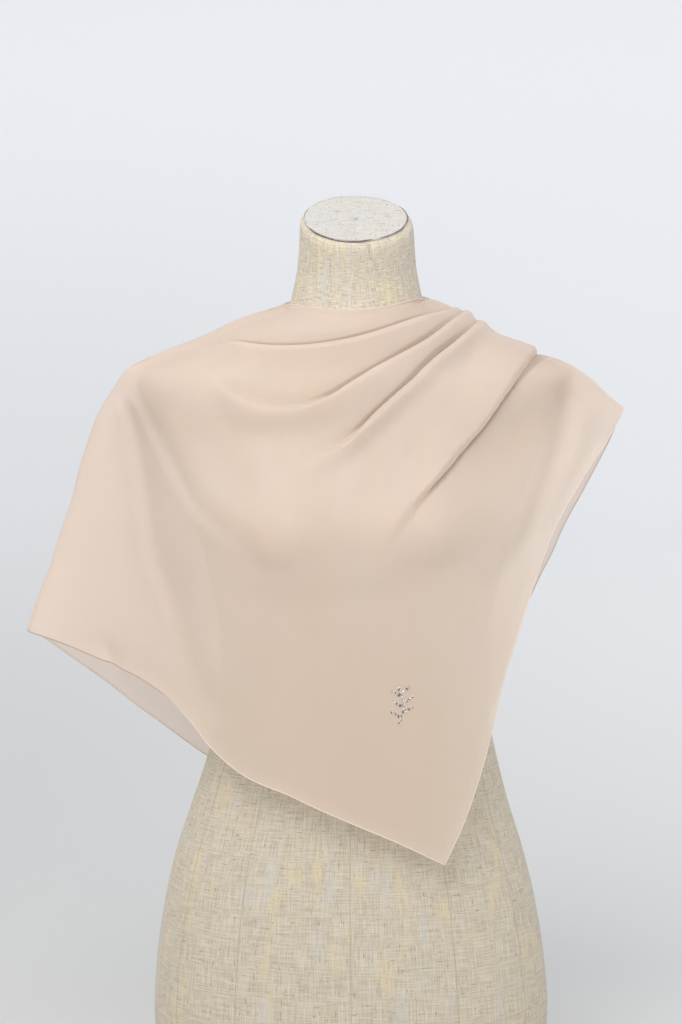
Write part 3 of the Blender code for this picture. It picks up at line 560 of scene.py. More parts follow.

# soft troughs, and ridges where the depth is below nothing; they grow up to head and lose
# strength past fade, as shares of their length; shade is how dark the shade painted into the
# cloth's colour along them is, and collarShade is nothing but painted shade
troughColumns = ("depth", "width", "head", "fade", "shade")
troughs = {
    front: {
        "rollBase": ((-0.0045, 0.042, 0.30, 0.60, 0.00), (
            (0.1250, 0.6850), (0.0900, 0.6700), (0.0500, 0.6500), (0.0100, 0.6380), (-0.0300, 0.6350),
            (-0.0700, 0.6450), (-0.1200, 0.6600))),
        "armTrough": ((0.0050, 0.029, 0.12, 0.65, 0.42), (
            (-0.2040, 0.6420), (-0.1940, 0.6150), (-0.1850, 0.5750), (-0.1760, 0.5360),
            (-0.1650, 0.4950), (-0.1520, 0.4570), (-0.1400, 0.4220), (-0.1280, 0.3880))),
        "chestRidge": ((-0.0036, 0.018, 0.12, 0.60, 0.00), (
            (-0.1920, 0.6370), (-0.1807, 0.6271), (-0.1659, 0.6157), (-0.1513, 0.5957),
            (-0.1348, 0.5693), (-0.1167, 0.5469), (-0.0901, 0.5324), (-0.0585, 0.5259))),
        "shoulderTrough": ((0.0030, 0.008, 0.12, 0.50, 0.10), (
            (0.1152, 0.6790), (0.1024, 0.6711), (0.0872, 0.6630), (0.0700, 0.6516),
            (0.0533, 0.6380), (0.0409, 0.6260), (0.0182, 0.6039), (-0.0106, 0.5720),
            (-0.0351, 0.5523))),
        "flapTrough": ((0.0040, 0.011, 0.12, 0.60, 0.30), (
            (0.1790, 0.6500), (0.1815, 0.6380), (0.1830, 0.6230), (0.1780, 0.5960),
            (0.1700, 0.5700), (0.1600, 0.5440), (0.1480, 0.5180), (0.1330, 0.4960),
            (0.1170, 0.4750), (0.1000, 0.4560))),
        "flapRidge": ((-0.0026, 0.009, 0.20, 0.60, 0.00), (
            (0.1990, 0.6230), (0.1962, 0.6122), (0.1847, 0.5804), (0.1713, 0.5558),
            (0.1600, 0.5224), (0.1546, 0.4968), (0.1470, 0.4783))),
        "lowerSwag": ((0.0022, 0.012, 0.25, 0.70, 0.05), (
            (-0.0047, 0.6146), (-0.0230, 0.6113), (-0.0563, 0.5998), (-0.0807, 0.6007),
            (-0.0976, 0.6027), (-0.1189, 0.6150), (-0.1397, 0.6266))),
        "waistTrough": ((0.0030, 0.014, 0.30, 0.70, 0.20), (
            (-0.1580, 0.4450), (-0.1513, 0.4252), (-0.1384, 0.3988), (-0.1264, 0.3758),
            (-0.1180, 0.3500))),
        "collarShade": ((0.0000, 0.015, 0.30, 0.60, 0.16), (
            (-0.0800, 0.6880), (-0.0300, 0.6900), (0.0200, 0.6960), (0.0700, 0.7020))),
        "underBust": ((0.0008, 0.015, 0.20, 0.80, 0.17), (
            (-0.1170, 0.4700), (-0.0740, 0.4700), (-0.0300, 0.4700), (0.0130, 0.4750),
            (0.0565, 0.4830), (0.0830, 0.4900))),
        "hemDent": ((0.0032, 0.006, 0.50, 0.70, 0.00), (
            (-0.2180, 0.4300), (-0.2162, 0.4190), (-0.2119, 0.4063), (-0.2093, 0.3951),
            (-0.2077, 0.3812))),
    },
    back: {
        "armTrough": ((0.0040, 0.018, 0.12, 0.50, 0.25), (
            (-0.2082, 0.6300), (-0.1960, 0.6040), (-0.1882, 0.5749), (-0.1763, 0.5086),
            (-0.1640, 0.4300))),
        "flapTrough": ((0.0060, 0.018, 0.12, 0.55, 0.25), (
            (0.1970, 0.6420), (0.1724, 0.6011), (0.1587, 0.5602), (0.1450, 0.4900))),
        "middleRidge": ((-0.0030, 0.024, 0.30, 0.60, 0.00), (
            (0.0900, 0.5900), (0.0500, 0.5200), (0.0150, 0.4400), (-0.0050, 0.3600))),
        "leftTrough": ((0.0035, 0.026, 0.30, 0.60, 0.00), (
            (-0.0900, 0.6000), (-0.1000, 0.5200), (-0.1060, 0.4400), (-0.1080, 0.3600))),
        "hemDent": ((0.0032, 0.007, 0.50, 0.70, 0.00), (
            (-0.2180, 0.4300), (-0.2162, 0.4190), (-0.2119, 0.4063), (-0.2093, 0.3951),
            (-0.2077, 0.3650))),
    },
}

# each line as a smooth curve, with its sizes by name
lineMaking = {"points": 45, "softenings": 5}
for tables, columns in ((creases, creaseColumns), (troughs, troughColumns)):
    for table in tables.values():
        for name, (sizes, line) in table.items():
            line = byLength(line, np.linspace(0, 1, lineMaking["points"]))
            for turn in range(lineMaking["softenings"]):
                line[1:-1] = line[1:-1] / 2 + (line[:-2] + line[2:]) / 4
            table[name] = (dict(zip(columns, sizes)), line)


def tautLine(x, depth):
    # the tightest line over the points, as cloth spans from one high place to the next
    kept = []
    for point in zip(x, depth):
        while len(kept) > 1:
            (x0, d0), (x1, d1) = kept[-2:]
            if (x1 - x0) * (point[1] - d0) < (d1 - d0) * (point[0] - x0):
                break
            kept.pop()
        kept.append(point)
    return np.asarray(kept).T


def depthMap(side):
    # how far the cloth's outside lies from the plane y = 0, for each height and x
    step = shawl["mapStep"]
    fold, seam, hem = np.asarray(foldLine), np.asarray(seamLine), np.asarray(sideHem[side])
    x = np.arange(*shawl["mapX"], step)
    heights = np.arange(shawl["mapZ"][1], shawl["mapZ"][0], -step)
    fullest = np.zeros_like(x)
    swing = shawl["swingIn"] * step
    rows, floor = [], []
    for z in heights:
        under = formDepth(x, z - shawl["shoulderLift"], side)
        under = np.where(under > 0, under + shawl["lie"][side] + shawl["wall"], 0)
        fullest = np.maximum(fullest - swing, under)
        if z < fold[0, 1]:
            rows.append(np.maximum(rows[-1] - swing * (rows[-1] > 0), under))
            floor.append(under)
            continue
        left = np.interp(z, fold[:, 1], fold[:, 0])
        right, rightDepth = np.interp(-z, -seam[:, 1], seam[:, 0]), 0
        if z < seam[-1, 1]:
            right, rightDepth = np.interp(z, hem[:, 1], hem[:, 0]), np.interp(z, hem[:, 1], hem[:, 2])
        inside = (x > left + step / 2) & (x < right - step / 2)
        lineX, line = tautLine(np.concatenate(((left,), x[inside], (right,))),
                               np.concatenate(((0,), fullest[inside], (rightDepth,))))
        slopes = np.clip(np.diff(line) / np.diff(lineX), -shawl["steepest"], shawl["steepest"])
        row = np.interp(x, lineX, line)
        row = row + np.minimum(x - left, 0) * slopes[0] + np.maximum(x - right, 0) * slopes[-1]
        rows.append(row)
        floor.append(np.where(inside, under, -1))
    return x, heights[::-1], softened(np.asarray(rows), np.asarray(floor), heights)[::-1]


def softened(rows, floor, heights):
    # rounds the cloth's turns, more so where it hangs free below the bust
    soften = shawl["soften"]
    lower = ease((soften["changeFrom"] - heights) / (soften["changeFrom"] - soften["changeTo"]))
    passes = soften["above"] + (soften["below"] - soften["above"]) * lower
    for turn in range(soften["below"]):
        wide = np.pad(rows, 1, mode="edge")
        soft = (wide[1:-1, :-2] + wide[1:-1, 2:] + 2 * rows) / 4
        if turn < soften["above"]:
            soft = soft / 2 + (wide[:-2, 1:-1] + wide[2:, 1:-1]) / 4
        rows = np.where((turn < passes)[:, None], np.maximum(soft, floor), rows)
    return rows


def cubicWeights(t):
    return ((1 - t)**3 / 6, (3 * t**3 - 6 * t**2 + 4) / 6, (-3 * t**3 + 3 * t**2 + 3 * t + 1) / 6, t**3 / 6)


def readMap(drape, x, z):
    # reads the depth map with a smooth cubic blend, so that no facets show; a place is kept just
    # inside the last cell
    xs, zs, rows = drape
    column = np.clip((x - xs[0]) / shawl["mapStep"], 1, len(xs) - 2.001)
    level = np.clip((z - zs[0]) / shawl["mapStep"], 1, len(zs) - 2.001)
    i, j = column.astype(int), level.astype(int)
    across, up = cubicWeights(column - i), cubicWeights(level - j)
    total = 0
    for b in range(4):
        for a in range(4):
            near = rows[np.clip(j + b - 1, 0, len(zs) - 1), np.clip(i + a - 1, 0, len(xs) - 1)]
            total = total + near * across[a] * up[b]
    return total


def neckPoints(side, shares):
    # the neck opening's edge, laid round the form's neck
    table = np.asarray(neckEdge[side], float)
    turn = np.radians(180 * shares)
    z = smoothCurve(table[:, 0], table[:, 1], 180 * shares)
    gap = shawl["lie"][side] + shawl["wall"]
    wide = ring("wide", z) + gap
    deep = ring("front" if side == front else "back", z) + gap
    x = ring("midX", z) - wide * np.cos(turn)
    x = np.where(shares <= 0, foldLine[-1][0], np.where(shares >= 1, seamLine[0][0], x))
    return np.column_stack((x, z, side * deep * np.sin(turn)))


def topPoints(side, s):
    # a layer's top edge: the neck opening and then the shoulder seam
    share = shawl["neckShare"]
    seam = byLength(seamLine, np.clip((s - share) / (1 - share), 0, 1))
    neck = neckPoints(side, np.clip(s / share, 0, 1))[:, :2]
    return np.where(s[:, None] <= share, neck, seam)


def isClosed(s, t):
    # the points on the fold and on the seam, which belong to both layers and lie on y = 0
    return (s <= 0) | ((t >= 1) & (s > shawl["neckShare"]))


def clothBase(side, s, t):
    # the cloth with no folds: a patch between its four edges, laid at the map's depth
    ends = np.array((0.0, 1.0))
    bottom, top = byLength(bottomHem[side], s), topPoints(side, s)
    left, right = byLength(foldLine, t), byLength(np.asarray(sideHem[side])[:, :2], t)
    corners = (*byLength(bottomHem[side], ends), *topPoints(side, ends))
    a, b = s[:, None], t[:, None]
    flat = ((1 - b) * bottom + b * top + (1 - a) * left + a * right
            - (1 - a) * (1 - b) * corners[0] - a * (1 - b) * corners[1]
            - (1 - a) * b * corners[2] - a * b * corners[3])
    x, z = flat[:, 0], flat[:, 1]
    depth = readMap(drapes[side], x, z)
    edge = np.minimum(farFrom(foldLine, x, z), farFrom(seamLine, x, z))
    depth = depth * (1 - np.exp(-edge / shawl["edgeStart"]))      # nothing at the fold and the seam
    depth = depth + shawl["roundOver"] * np.sqrt(edge) * np.exp(-edge / shawl["roundReach"])
    neckDepth = side * neckPoints(side, np.clip(s / shawl["neckShare"], 0, 1))[:, 2]
    atTop = ease((t - shawl["topFrom"]) / shawl["topOver"])
    atEdge = atTop * ease((shawl["neckShare"] - s) / shawl["neckEnd"])
    depth = np.where(isClosed(s, t), 0, depth + (neckDepth - depth) * atEdge)
    return np.column_stack((x, side * depth, z))


def foldLift(side, x, z):
    # the folds' height above the plain cloth, their sideways shift and the shade painted into the
    # cloth's colour at them; near the seam the back layer's folds turn into the front's
    if side == front:
        return layerLift(front, x, z)
    share = ease(farFrom(seamLine, x, z) / shawl["seamMatch"])
    return [ahead + (behind - ahead) * share
            for ahead, behind in zip(layerLift(front, x, z), layerLift(back, x, z))]


def fading(share, start):
    return 1 - ease((share - start) / (1 - start))


def layerLift(side, x, z):
    height, shiftX, shiftZ, shade = 0, 0, 0, np.zeros(x.shape)
    for fold, line in creases[side].values():
        away, share, awayX, awayZ = lineDistance(line, x, z)
        strength = fold["head"] + (1 - fold["head"]) * ease(share / fold["reach"])
        strength = strength * fading(share, fold["fade"])
        softer = ease((share - fold["soft"]) / shawl["softOver"])
        step = fold["step"] + (fold["wide"] - fold["step"]) * softer
        lip = fold["lip"] * strength * (1 - softer)
        toward = fold["side"] * away - lip      # so that the lip's edge ends up on the line
        rolled = ease(toward / step + 0.5)
        rise = shawl["rollEdge"] + (1 - shawl["rollEdge"]) * ease(toward / shawl["rollRadius"])
        fall = np.clip(1 - np.maximum(toward - shawl["rollRadius"], 0) / fold["crestWide"], 0, 1) ** 2
        crest = fold["crest"] * rise * fall
        valley = fold["valley"] * np.clip(1 - np.abs(toward) / fold["valleyWide"], 0, 1) ** 2
        height = height + strength * (rolled * crest - (1 - rolled) * valley)
        over = lip * rolled * np.clip(1 - np.maximum(toward, 0) / fold["crestWide"], 0, 1) ** 2
        shiftX = shiftX - fold["side"] * awayX * over
        shiftZ = shiftZ - fold["side"] * awayZ * over
        # painted shade: darkest under the lip and fading out on the valley side
        under = (1 - rolled) * np.exp(np.minimum(fold["side"] * away, 0) / shawl["shadeReach"])
        dark = fold["shade"] * strength * (1 - shawl["softShade"] * softer) * under
        shade = np.maximum(shade, dark)
    for trough, line in troughs[side].values():
        away, share, _, _ = lineDistance(line, x, z)
        strength = ease(share / trough["head"]) * fading(share, trough["fade"])
        within = strength * np.exp(-(away / trough["width"]) ** 2)
        height = height - trough["depth"] * within
        # painted shade along the trough
        shade = np.maximum(shade, trough["shade"] * within)
    return height, shiftX, shiftZ, shade


def baseNormals(side, s, t):
    h = shawl["normalStep"]
    along = clothBase(side, np.minimum(s + h, 1), t) - clothBase(side, np.maximum(s - h, 0), t)
    up = clothBase(side, s, np.minimum(t + h, 1)) - clothBase(side, s, np.maximum(t - h, 0))
    normal = np.cross(along, up)
    normal = normal * side * np.sign(np.mean(normal[:, 1]))
    return normal / np.maximum(np.linalg.norm(normal, axis=1, keepdims=True), 1e-12)


def clothSurface(side, s, t):
    # the finished outside of one layer at shares s along the hem and t up from it
    base, normal, closed = clothBase(side, s, t), baseNormals(side, s, t), isClosed(s, t)
    normal[closed, 1] = 0
    normal = normal / np.linalg.norm(normal, axis=1, keepdims=True)
    x, z = base[:, 0], base[:, 2]
    height, shiftX, shiftZ, shade = foldLift(side, x, z)
    calm = ease(farFrom(foldLine, x, z) / shawl["foldCalm"])
    width, length = shawl["panel"]
    down, fromNeck = (1 - t) * length, shawl["neckShare"] - s
    nearNeck = 1 - (1 - ease(down / shawl["neckCalm"])) * ease(fromNeck / shawl["neckEnd"] + 0.5)
    roll = shawl["neckRoll"]
    rolled = calm * roll["height"] * (1 - np.exp(-down / roll["edge"])) * np.exp(-down / roll["reach"])
    rolled = np.where(s <= shawl["neckShare"], rolled * ease(fromNeck / roll["end"]), 0)
    curl = shawl["hemCurl"]
    fromSide = (1 - s) * width + curl["topFree"] * ease((t - curl["topFrom"]) / curl["topOver"])
    curled = calm * curl["height"] * np.clip(1 - np.minimum(t * length, fromSide) / curl["reach"], 0, 1) ** 2
    points = base + normal * (height * calm * nearNeck + rolled + curled)[:, None]
    points[:, 0] += shiftX * calm * nearNeck
    points[:, 2] += shiftZ * calm * nearNeck
    points[closed, 1] = 0
    return points, normal, shade * calm


def keepOff(points, gap):
    # moves any point that is nearer to the form than the gap straight away from it
    for point in points:
        near, normal, _, away = formTree.find_nearest(tuple(point))
        within = (point - np.asarray(near)) @ np.asarray(normal) < 0
        if within or away < gap:
            point[:] = np.asarray(near) + gap * np.asarray(normal)
    return points


drapes = {side: depthMap(side) for side in (front, back)}
print("depth maps ready")


def flatPattern():
    # both layers as one flat pattern: across is below nothing on the back layer, and up runs
    # from the bottom hem to the top edge; cells near creases are halved
    columns, levels = shawl["cells"]
    edgeCells = np.array(shawl["edgeCells"])
    low, inner = levels // 3, edgeCells[:-1]
    across = np.concatenate(((0,), inner, np.linspace(edgeCells[-1], 1, columns)))
    up = np.concatenate((np.linspace(0, 0.5, low, endpoint=False),
                         np.linspace(0.5, 1 - edgeCells[-1], levels - low), 1 - inner[::-1], (1,)))
    shape = bmesh.new()
    for side in (back, front):
        grid = [[shape.verts.new((-side * s, t, 0)) for t in up] for s in across]
        for i in range(len(across) - 1):
            for j in range(len(up) - 1):
                corners = (grid[i][j], grid[i + 1][j], grid[i + 1][j + 1], grid[i][j + 1])
                shape.faces.new(corners if side == front else tuple(reversed(corners)))
    for level in range(len(shawl["fine"][front])):
        centres = np.array([face.calc_center_median()[:2] for face in shape.faces])
        near = nearCrease(centres[:, 0], centres[:, 1], level)
        edges = {edge for face, chosen in zip(shape.faces, near) if chosen for edge in face.edges}
        bmesh.ops.subdivide_edges(shape, edges=list(edges), cuts=1, use_grid_fill=True, use_single_edge=True)
    return shape


def nearCrease(across, up, level):
    # which cells are near a sharp crease; by the seam both layers decide alike, so that they meet
    found = np.zeros(len(across), bool)
    s, t = np.abs(across), np.where(up > shawl["seamCells"], 1, up)
    for side in (front, back):
        mine = ((across > 0) == (side == front)) | (t >= 1)
        reaches = shawl["fine"][side]
        reach = np.where(t >= 1, shawl["fine"][front][level], reaches[level] if level < len(reaches) else -1)
        x, z = np.zeros(len(s)), np.zeros(len(s))
        x[mine], _, z[mine] = clothBase(side, s[mine], t[mine]).T
        for fold, line in creases[side].values():
            if fold["step"] > shawl["sharpStep"]:
                continue
            away, share, _, _ = lineDistance(line, x, z)
            toward = fold["side"] * away
            close = (toward > -reach) & (toward < reach + fold["lip"])
            found |= mine & close & (share < max(fold["soft"] + shawl["finePast"], shawl["fineLeast"]))
    return found


def makeShawl():
    shape = flatPattern()
    shape.verts.ensure_lookup_table()
    flat = np.array([vert.co[:2] for vert in shape.verts])
    s, t = np.abs(flat[:, 0]), flat[:, 1]
    closed = isClosed(s, t)
    points, shade = np.zeros((len(s), 3)), np.zeros(len(s))
    asFront = (flat[:, 0] > 0) | (closed & (s > 0))      # the seam's points are the front's
    for side, mine in ((front, asFront), (back, ~asFront)):
        points[mine], _, shade[mine] = clothSurface(side, s[mine], t[mine])
    points = keepOff(points, shawl["nearest"])
    points[closed, 1] = 0
    layer = shape.loops.layers.uv.new("clothUv")
    for face in shape.faces:
        for loop in face.loops:
            place = loop.vert.co
            loop[layer].uv = (place[0] * shawl["panel"][0], place[1] * shawl["panel"][1])
    # the painted crease shade, kept on each point for the cloth's colour
    dark = shape.verts.layers.float.new("foldShade")
    for vert, point, amount in zip(shape.verts, points, shade):
        vert.co = point
        vert[dark] = amount
    shared = [vert for vert, shut in zip(shape.verts, closed) if shut]
    bmesh.ops.remove_doubles(shape, verts=shared, dist=shawl["weld"])
    bmesh.ops.recalc_face_normals(shape, faces=shape.faces)
    openEdges = sum(edge.is_boundary for edge in shape.edges)
    mesh = bpy.data.meshes.new("shawlCloth")
    shape.to_mesh(mesh)
    shape.free()
    mesh.shade_smooth()
    print("shawl:", len(mesh.polygons), "faces,", openEdges, "open edges")
    return placed("shawlCloth", mesh)


shawlCloth = makeShawl()
shawlTree = BVHTree.FromObject(shawlCloth, bpy.context.evaluated_depsgraph_get())


def edgePath(side, where, inside, proud):
    # points along one edge of a layer, or along a line in from it and a little off the cloth
    count = hems["points"][where]
    shares = np.linspace(0, 1, count)
    width, length = shawl["panel"]
    if where == "bottom":
        s, t = shares, np.full(count, inside / length)
    elif where == "side":
        s, t = np.full(count, 1 - inside / width), shares
    else:
        s, t = shares * shawl["neckShare"], np.full(count, 1 - inside / length)
    points, normal, _ = clothSurface(side, s, t)
    points = keepOff(points, shawl["nearest"])
    points[isClosed(s, t), 1] = 0
    return points + normal * proud


def ringOf(first, second):
    # joins two paths, the second one reversed, to a closed ring
    return list(first) + list(second[::-1])[1:-1]


hems = {
    "bead": 0.00048,         # radius of the rolled hem
    "neckBead": 0.00045,
    "sides": 8,
    "points": {"bottom": 220, "side": 220, "neck": 170},
}
stitches = {
    "length": 0.0016, "width": 0.00034, "apart": 0.0029, "line": {"inside": 0.0023, "proud": 0.00026},
    "colour": (0.730, 0.600, 0.500), "surface": {"Roughness": 0.6, "Sheen Weight": 0.1},
}


def rimLines(inside=0.0, proud=0.0):
    # each layer's whole hem and its neck edge
    hem, neck = {}, {}
    for side in (front, back):
        low, high, neck[side] = [edgePath(side, where, inside, proud) for where in ("bottom", "side", "neck")]
        hem[side] = np.vstack((low, high[1:]))
    return hem, neck


def tubeTree():
    # a round tube along every line of the carrier
    tree, board, given = geometryTree("tubeAlongLines", {"Radius": 0.001, "Sides": 8})
    line = board.node("GeometryNodeMeshToCurve", {}, {"Mesh": given["Geometry"]})
    profile = board.node("GeometryNodeCurvePrimitiveCircle", {},
                         {"Resolution": given["Sides"], "Radius": given["Radius"]})
    tube = board.node("GeometryNodeCurveToMesh", {},
                      {"Curve": line, "Profile Curve": profile, "Fill Caps": True})
    smooth = board.node("GeometryNodeSetShadeSmooth", {}, {"Geometry": tube, "Shade Smooth": True})
    endTree(board, smooth, given["Finish"])
    return tree


def stitchTree():
    # short rounded stitches, evenly spaced along every line of the carrier
    tree, board, given = geometryTree("stitchesAlongLines", {
        "Apart": 0.003, "Length": 0.002, "Width": 0.0004})
    line = board.node("GeometryNodeMeshToCurve", {}, {"Mesh": given["Geometry"]})
    spots = board.node("GeometryNodeResampleCurve", {"mode": "LENGTH"},
                       {"Curve": line, "Length": given["Apart"]})
    bead = board.node("GeometryNodeMeshUVSphere", {}, {"Segments": 6, "Rings": 4, "Radius": 0.5})
    tangent = board.node("GeometryNodeInputTangent")
    turned = board.node("FunctionNodeAlignRotationToVector", {"axis": "Z"}, {"Vector": tangent})
    size = board.node("ShaderNodeCombineXYZ", {}, [given["Width"], given["Width"], given["Length"]])
    row = board.node("GeometryNodeInstanceOnPoints", {},
                     {"Points": spots, "Instance": bead, "Rotation": turned, "Scale": size})
    smooth = board.node("GeometryNodeSetShadeSmooth", {},
                        {"Geometry": board.node("GeometryNodeRealizeInstances", {}, {"Geometry": row}),
                         "Shade Smooth": True})
    endTree(board, smooth, given["Finish"])
    return tree


# noises are scale, detail and roughness, and bumps are strength and distance
weave = {
    "surface": {"Roughness": 0.72, "Specular IOR Level": 0.28, "Sheen Weight": 0.22, "Sheen Roughness": 0.45},
    "drift": (9.0, 3.0, 0.55), "driftTones": (0.35, 0.70),
    "grain": (900.0, 2.0, 0.6), "grainTones": (0.30, 0.85), "grainShare": 0.10,
    "gloss": (60.0, 2.0, 0.5), "glossSpread": 0.10, "glossFrom": 0.66,
    "ripple": (95.0, 2.0, 0.5), "rippleBump": (0.10, 0.0010),
    "crepe": (1400.0, 2.0, 0.65), "crepeBump": (0.16, 0.0003),
    "stretch": {"grain": (1.0, 0.35, 1.0), "ripple": (1.0, 0.30, 1.0), "crepe": (1.0, 0.6, 1.0)},
}


def chiffonFinish(name, tone, coarse):
    # a matt pinkish beige with a soft drift of tone and a fine crepe grain, with painted shade in
    # the creases and lower down; coarse is the whole cloth, and otherwise the rolled hem, which gets
    # painted shade at the folded side
    material, board, shader = newMaterial(name, tone["light"], weave["surface"])
    place = board.onCloth() if coarse else board.inObject()

    def noise(label):
        vector = board.scaled(place, weave["stretch"][label]) if label in weave["stretch"] else place
        return board.noise(vector, *weave[label])

    colour = board.mixColour(noise("drift").between(*weave["driftTones"]), tone["light"], tone["deep"])
    grain = noise("grain").between(*weave["grainTones"]) * weave["grainShare"]
    colour = board.mixColour(grain, colour, tone["grain"])
    if coarse:
        # painted shade: the cloth turns darker and yellower lower down
        lower = 1.0 - board.part(board.inObject(), 2).between(*tone["lowerShadeFrom"])
        colour = board.mixColour(lower * tone["lowerShadeShare"], colour, tone["lower"])
        # painted shade in the creases and troughs, read from the mesh; it also dims the glow through the
        # cloth
        dark = board.node("ShaderNodeAttribute", {"attribute_name": "foldShade"}, out=2)
        share = tone["glow"] - dark * tone["glowLoss"]
    else:      # the front's hem is darker at the folded side, where the back layer lies behind it
        # painted shade on the front's hem at the folded side, where it lies over the back layer
        x, y = board.part(place, 0), board.part(place, 1)
        dark = (1.0 - x.between(*tone["shadeSideX"])) * (1.0 - y.between(*tone["shadeSideY"]))
        share = tone["glow"]
    # the painted shade mixed into the colour
    colour = board.mixColour(dark * tone["depth"], colour, tone["shadow"])
    feed(board, shader, "Base Color", colour)
    feed(board, shader, "Roughness", noise("gloss") * weave["glossSpread"] + weave["glossFrom"])
    ripple = board.bump(*weave["rippleBump"], noise("ripple"))
    crepe = board.bump(*weave["crepeBump"], noise("crepe"), ripple)
    feed(board, shader, "Normal", crepe)
    shader.inputs["Alpha"].default_value = tone["cover"]
    glow = board.node("ShaderNodeBsdfTranslucent", {}, {"Color": (*tone["through"], 1), "Normal": crepe})
    both = board.node("ShaderNodeMixShader", {}, {0: share, 1: Channel(board, shader.outputs[0]), 2: glow})
    board.tree.links.new(both.socket, board.tree.nodes["Material Output"].inputs["Surface"])
    return material


chiffonTone = {
    "light": (0.935, 0.825, 0.748), "deep": (0.910, 0.785, 0.700), "grain": (0.700, 0.580, 0.480),
    # lower is the painted shade lower down, and shadow the painted shade in the creases
    "lower": (0.790, 0.645, 0.500), "lowerShadeFrom": (0.28, 0.56), "lowerShadeShare": 0.52,     # by height
    "shadow": (0.280, 0.175, 0.120), "depth": 0.64,
    "through": (0.905, 0.785, 0.695), "glow": 0.46, "glowLoss": 0.24, "cover": 0.74,
}
hemTone = {
    "light": (0.885, 0.790, 0.700), "deep": (0.850, 0.740, 0.640), "grain": (0.700, 0.580, 0.480),
    # shadow is the painted shade on the front's hem at the folded side
    "shadow": (0.320, 0.200, 0.140), "depth": 0.66, "shadeSideX": (-0.175, -0.140), "shadeSideY": (-0.004, 0.002),
    "through": (0.870, 0.765, 0.670), "glow": 0.25, "cover": 1.0,
}
hemCloth = chiffonFinish("chiffonHem", hemTone, False)
thread, _, _ = newMaterial("sewingThread", stitches["colour"], stitches["surface"])
shawlCloth.data.materials.append(chiffonFinish("chiffonWeave", chiffonTone, True))

tube = tubeTree()
outerHem, neckHem = rimLines()
rolledHem = plainMesh("rolledHem", ringCarrier("hemLine", ringOf(outerHem[front], outerHem[back])), tube,
                      {"Radius": hems["bead"], "Sides": hems["sides"]}, hemCloth)
rolledNeck = plainMesh("rolledNeckEdge", ringCarrier("neckLine", ringOf(neckHem[front], neckHem[back])), tube,
                       {"Radius": hems["neckBead"], "Sides": hems["sides"]}, hemCloth)
sewnLines = [line for lines in rimLines(**stitches["line"]) for line in lines.values()]
hemStitches = plainMesh("hemStitches", pathCarrier("stitchLine", sewnLines), stitchTree(), {
    "Apart": stitches["apart"], "Length": stitches["length"], "Width": stitches["width"]}, thread)
print("hems and stitches:", len(rolledHem.data.polygons), len(hemStitches.data.polygons))

crystals = {
    "middle": (0.0365, 0.3765),        # x and z of the sprig
    "stem": 9, "height": 0.030, "lean": 0.0035,
    "leaves": ((0.16, -1), (0.30, 1), (0.46, -1), (0.60, 1), (0.76, -1), (0.88, 1)),
    "perLeaf": 3, "leafStep": 0.0026, "leafRise": 0.0017,
    "stone": 0.00125, "tip": 0.0017, "small": 0.00105,
    "facets": 8, "depth": 0.55, "table": 0.55, "proud": 0.0002,
    "surface": {"Roughness": 0.08, "Metallic": 0.55, "Coat Weight": 1.0, "Coat Roughness": 0.03},
    "colour": (0.86, 0.87, 0.89), "dark": (0.12, 0.12, 0.14), "bright": (1.0, 1.0, 1.0),
    "glint": (520.0, 1.0, 0.5), "glintTones": (0.42, 0.58),
}


def sprigSpots():
    # x, z and radius of each stone: a curved stem, side leaves and a larger stone at the tip
    x0, z0 = crystals["middle"]
    half = crystals["height"] / 2

    def onStem(share):
        return x0 + crystals["lean"] * math.sin(math.pi * share), z0 - half + crystals["height"] * share

    spots = [(*onStem(i / crystals["stem"]), crystals["small"]) for i in range(crystals["stem"])]
    spots.append((*onStem(1.0), crystals["tip"]))
    for share, way in crystals["leaves"]:
        x, z = onStem(share)
        for i in range(1, crystals["perLeaf"] + 1):
            size = crystals["stone"] if i < crystals["perLeaf"] else crystals["small"]
            spots.append((x + way * crystals["leafStep"] * i, z + crystals["leafRise"] * i, size))
    return spots


def crystalTree():
    # a cut stone on each point of the carrier, turned by its "facing" and sized by its "size"
    tree, board, given = geometryTree("stonesOnCloth", {"Facets": 8, "Depth": 0.5, "Table": 0.5})
    stone = board.node("GeometryNodeMeshCone", {}, {"Vertices": given["Facets"], "Radius Top": given["Table"],
                                                    "Radius Bottom": 1.0, "Depth": given["Depth"]})
    facing = board.node("GeometryNodeInputNamedAttribute", {"data_type": "FLOAT_VECTOR"}, {"Name": "facing"})
    size = board.node("GeometryNodeInputNamedAttribute", {"data_type": "FLOAT"}, {"Name": "size"})
    turned = board.node("FunctionNodeAlignRotationToVector", {"axis": "Z"}, {"Vector": facing})
    row = board.node("GeometryNodeInstanceOnPoints", {},
                     {"Points": given["Geometry"], "Instance": stone, "Rotation": turned, "Scale": size})
    endTree(board, row, given["Finish"])
    return tree


def crystalFinish():
    material, board, shader = newMaterial("clearCrystal", crystals["colour"], crystals["surface"])
    # painted reflections: a fine noise turns the stones' colour between dark and bright glints
    glint = board.noise(board.inObject(), *crystals["glint"]).between(*crystals["glintTones"])
    feed(board, shader, "Base Color", board.mixColour(glint, crystals["dark"], crystals["bright"]))
    return material


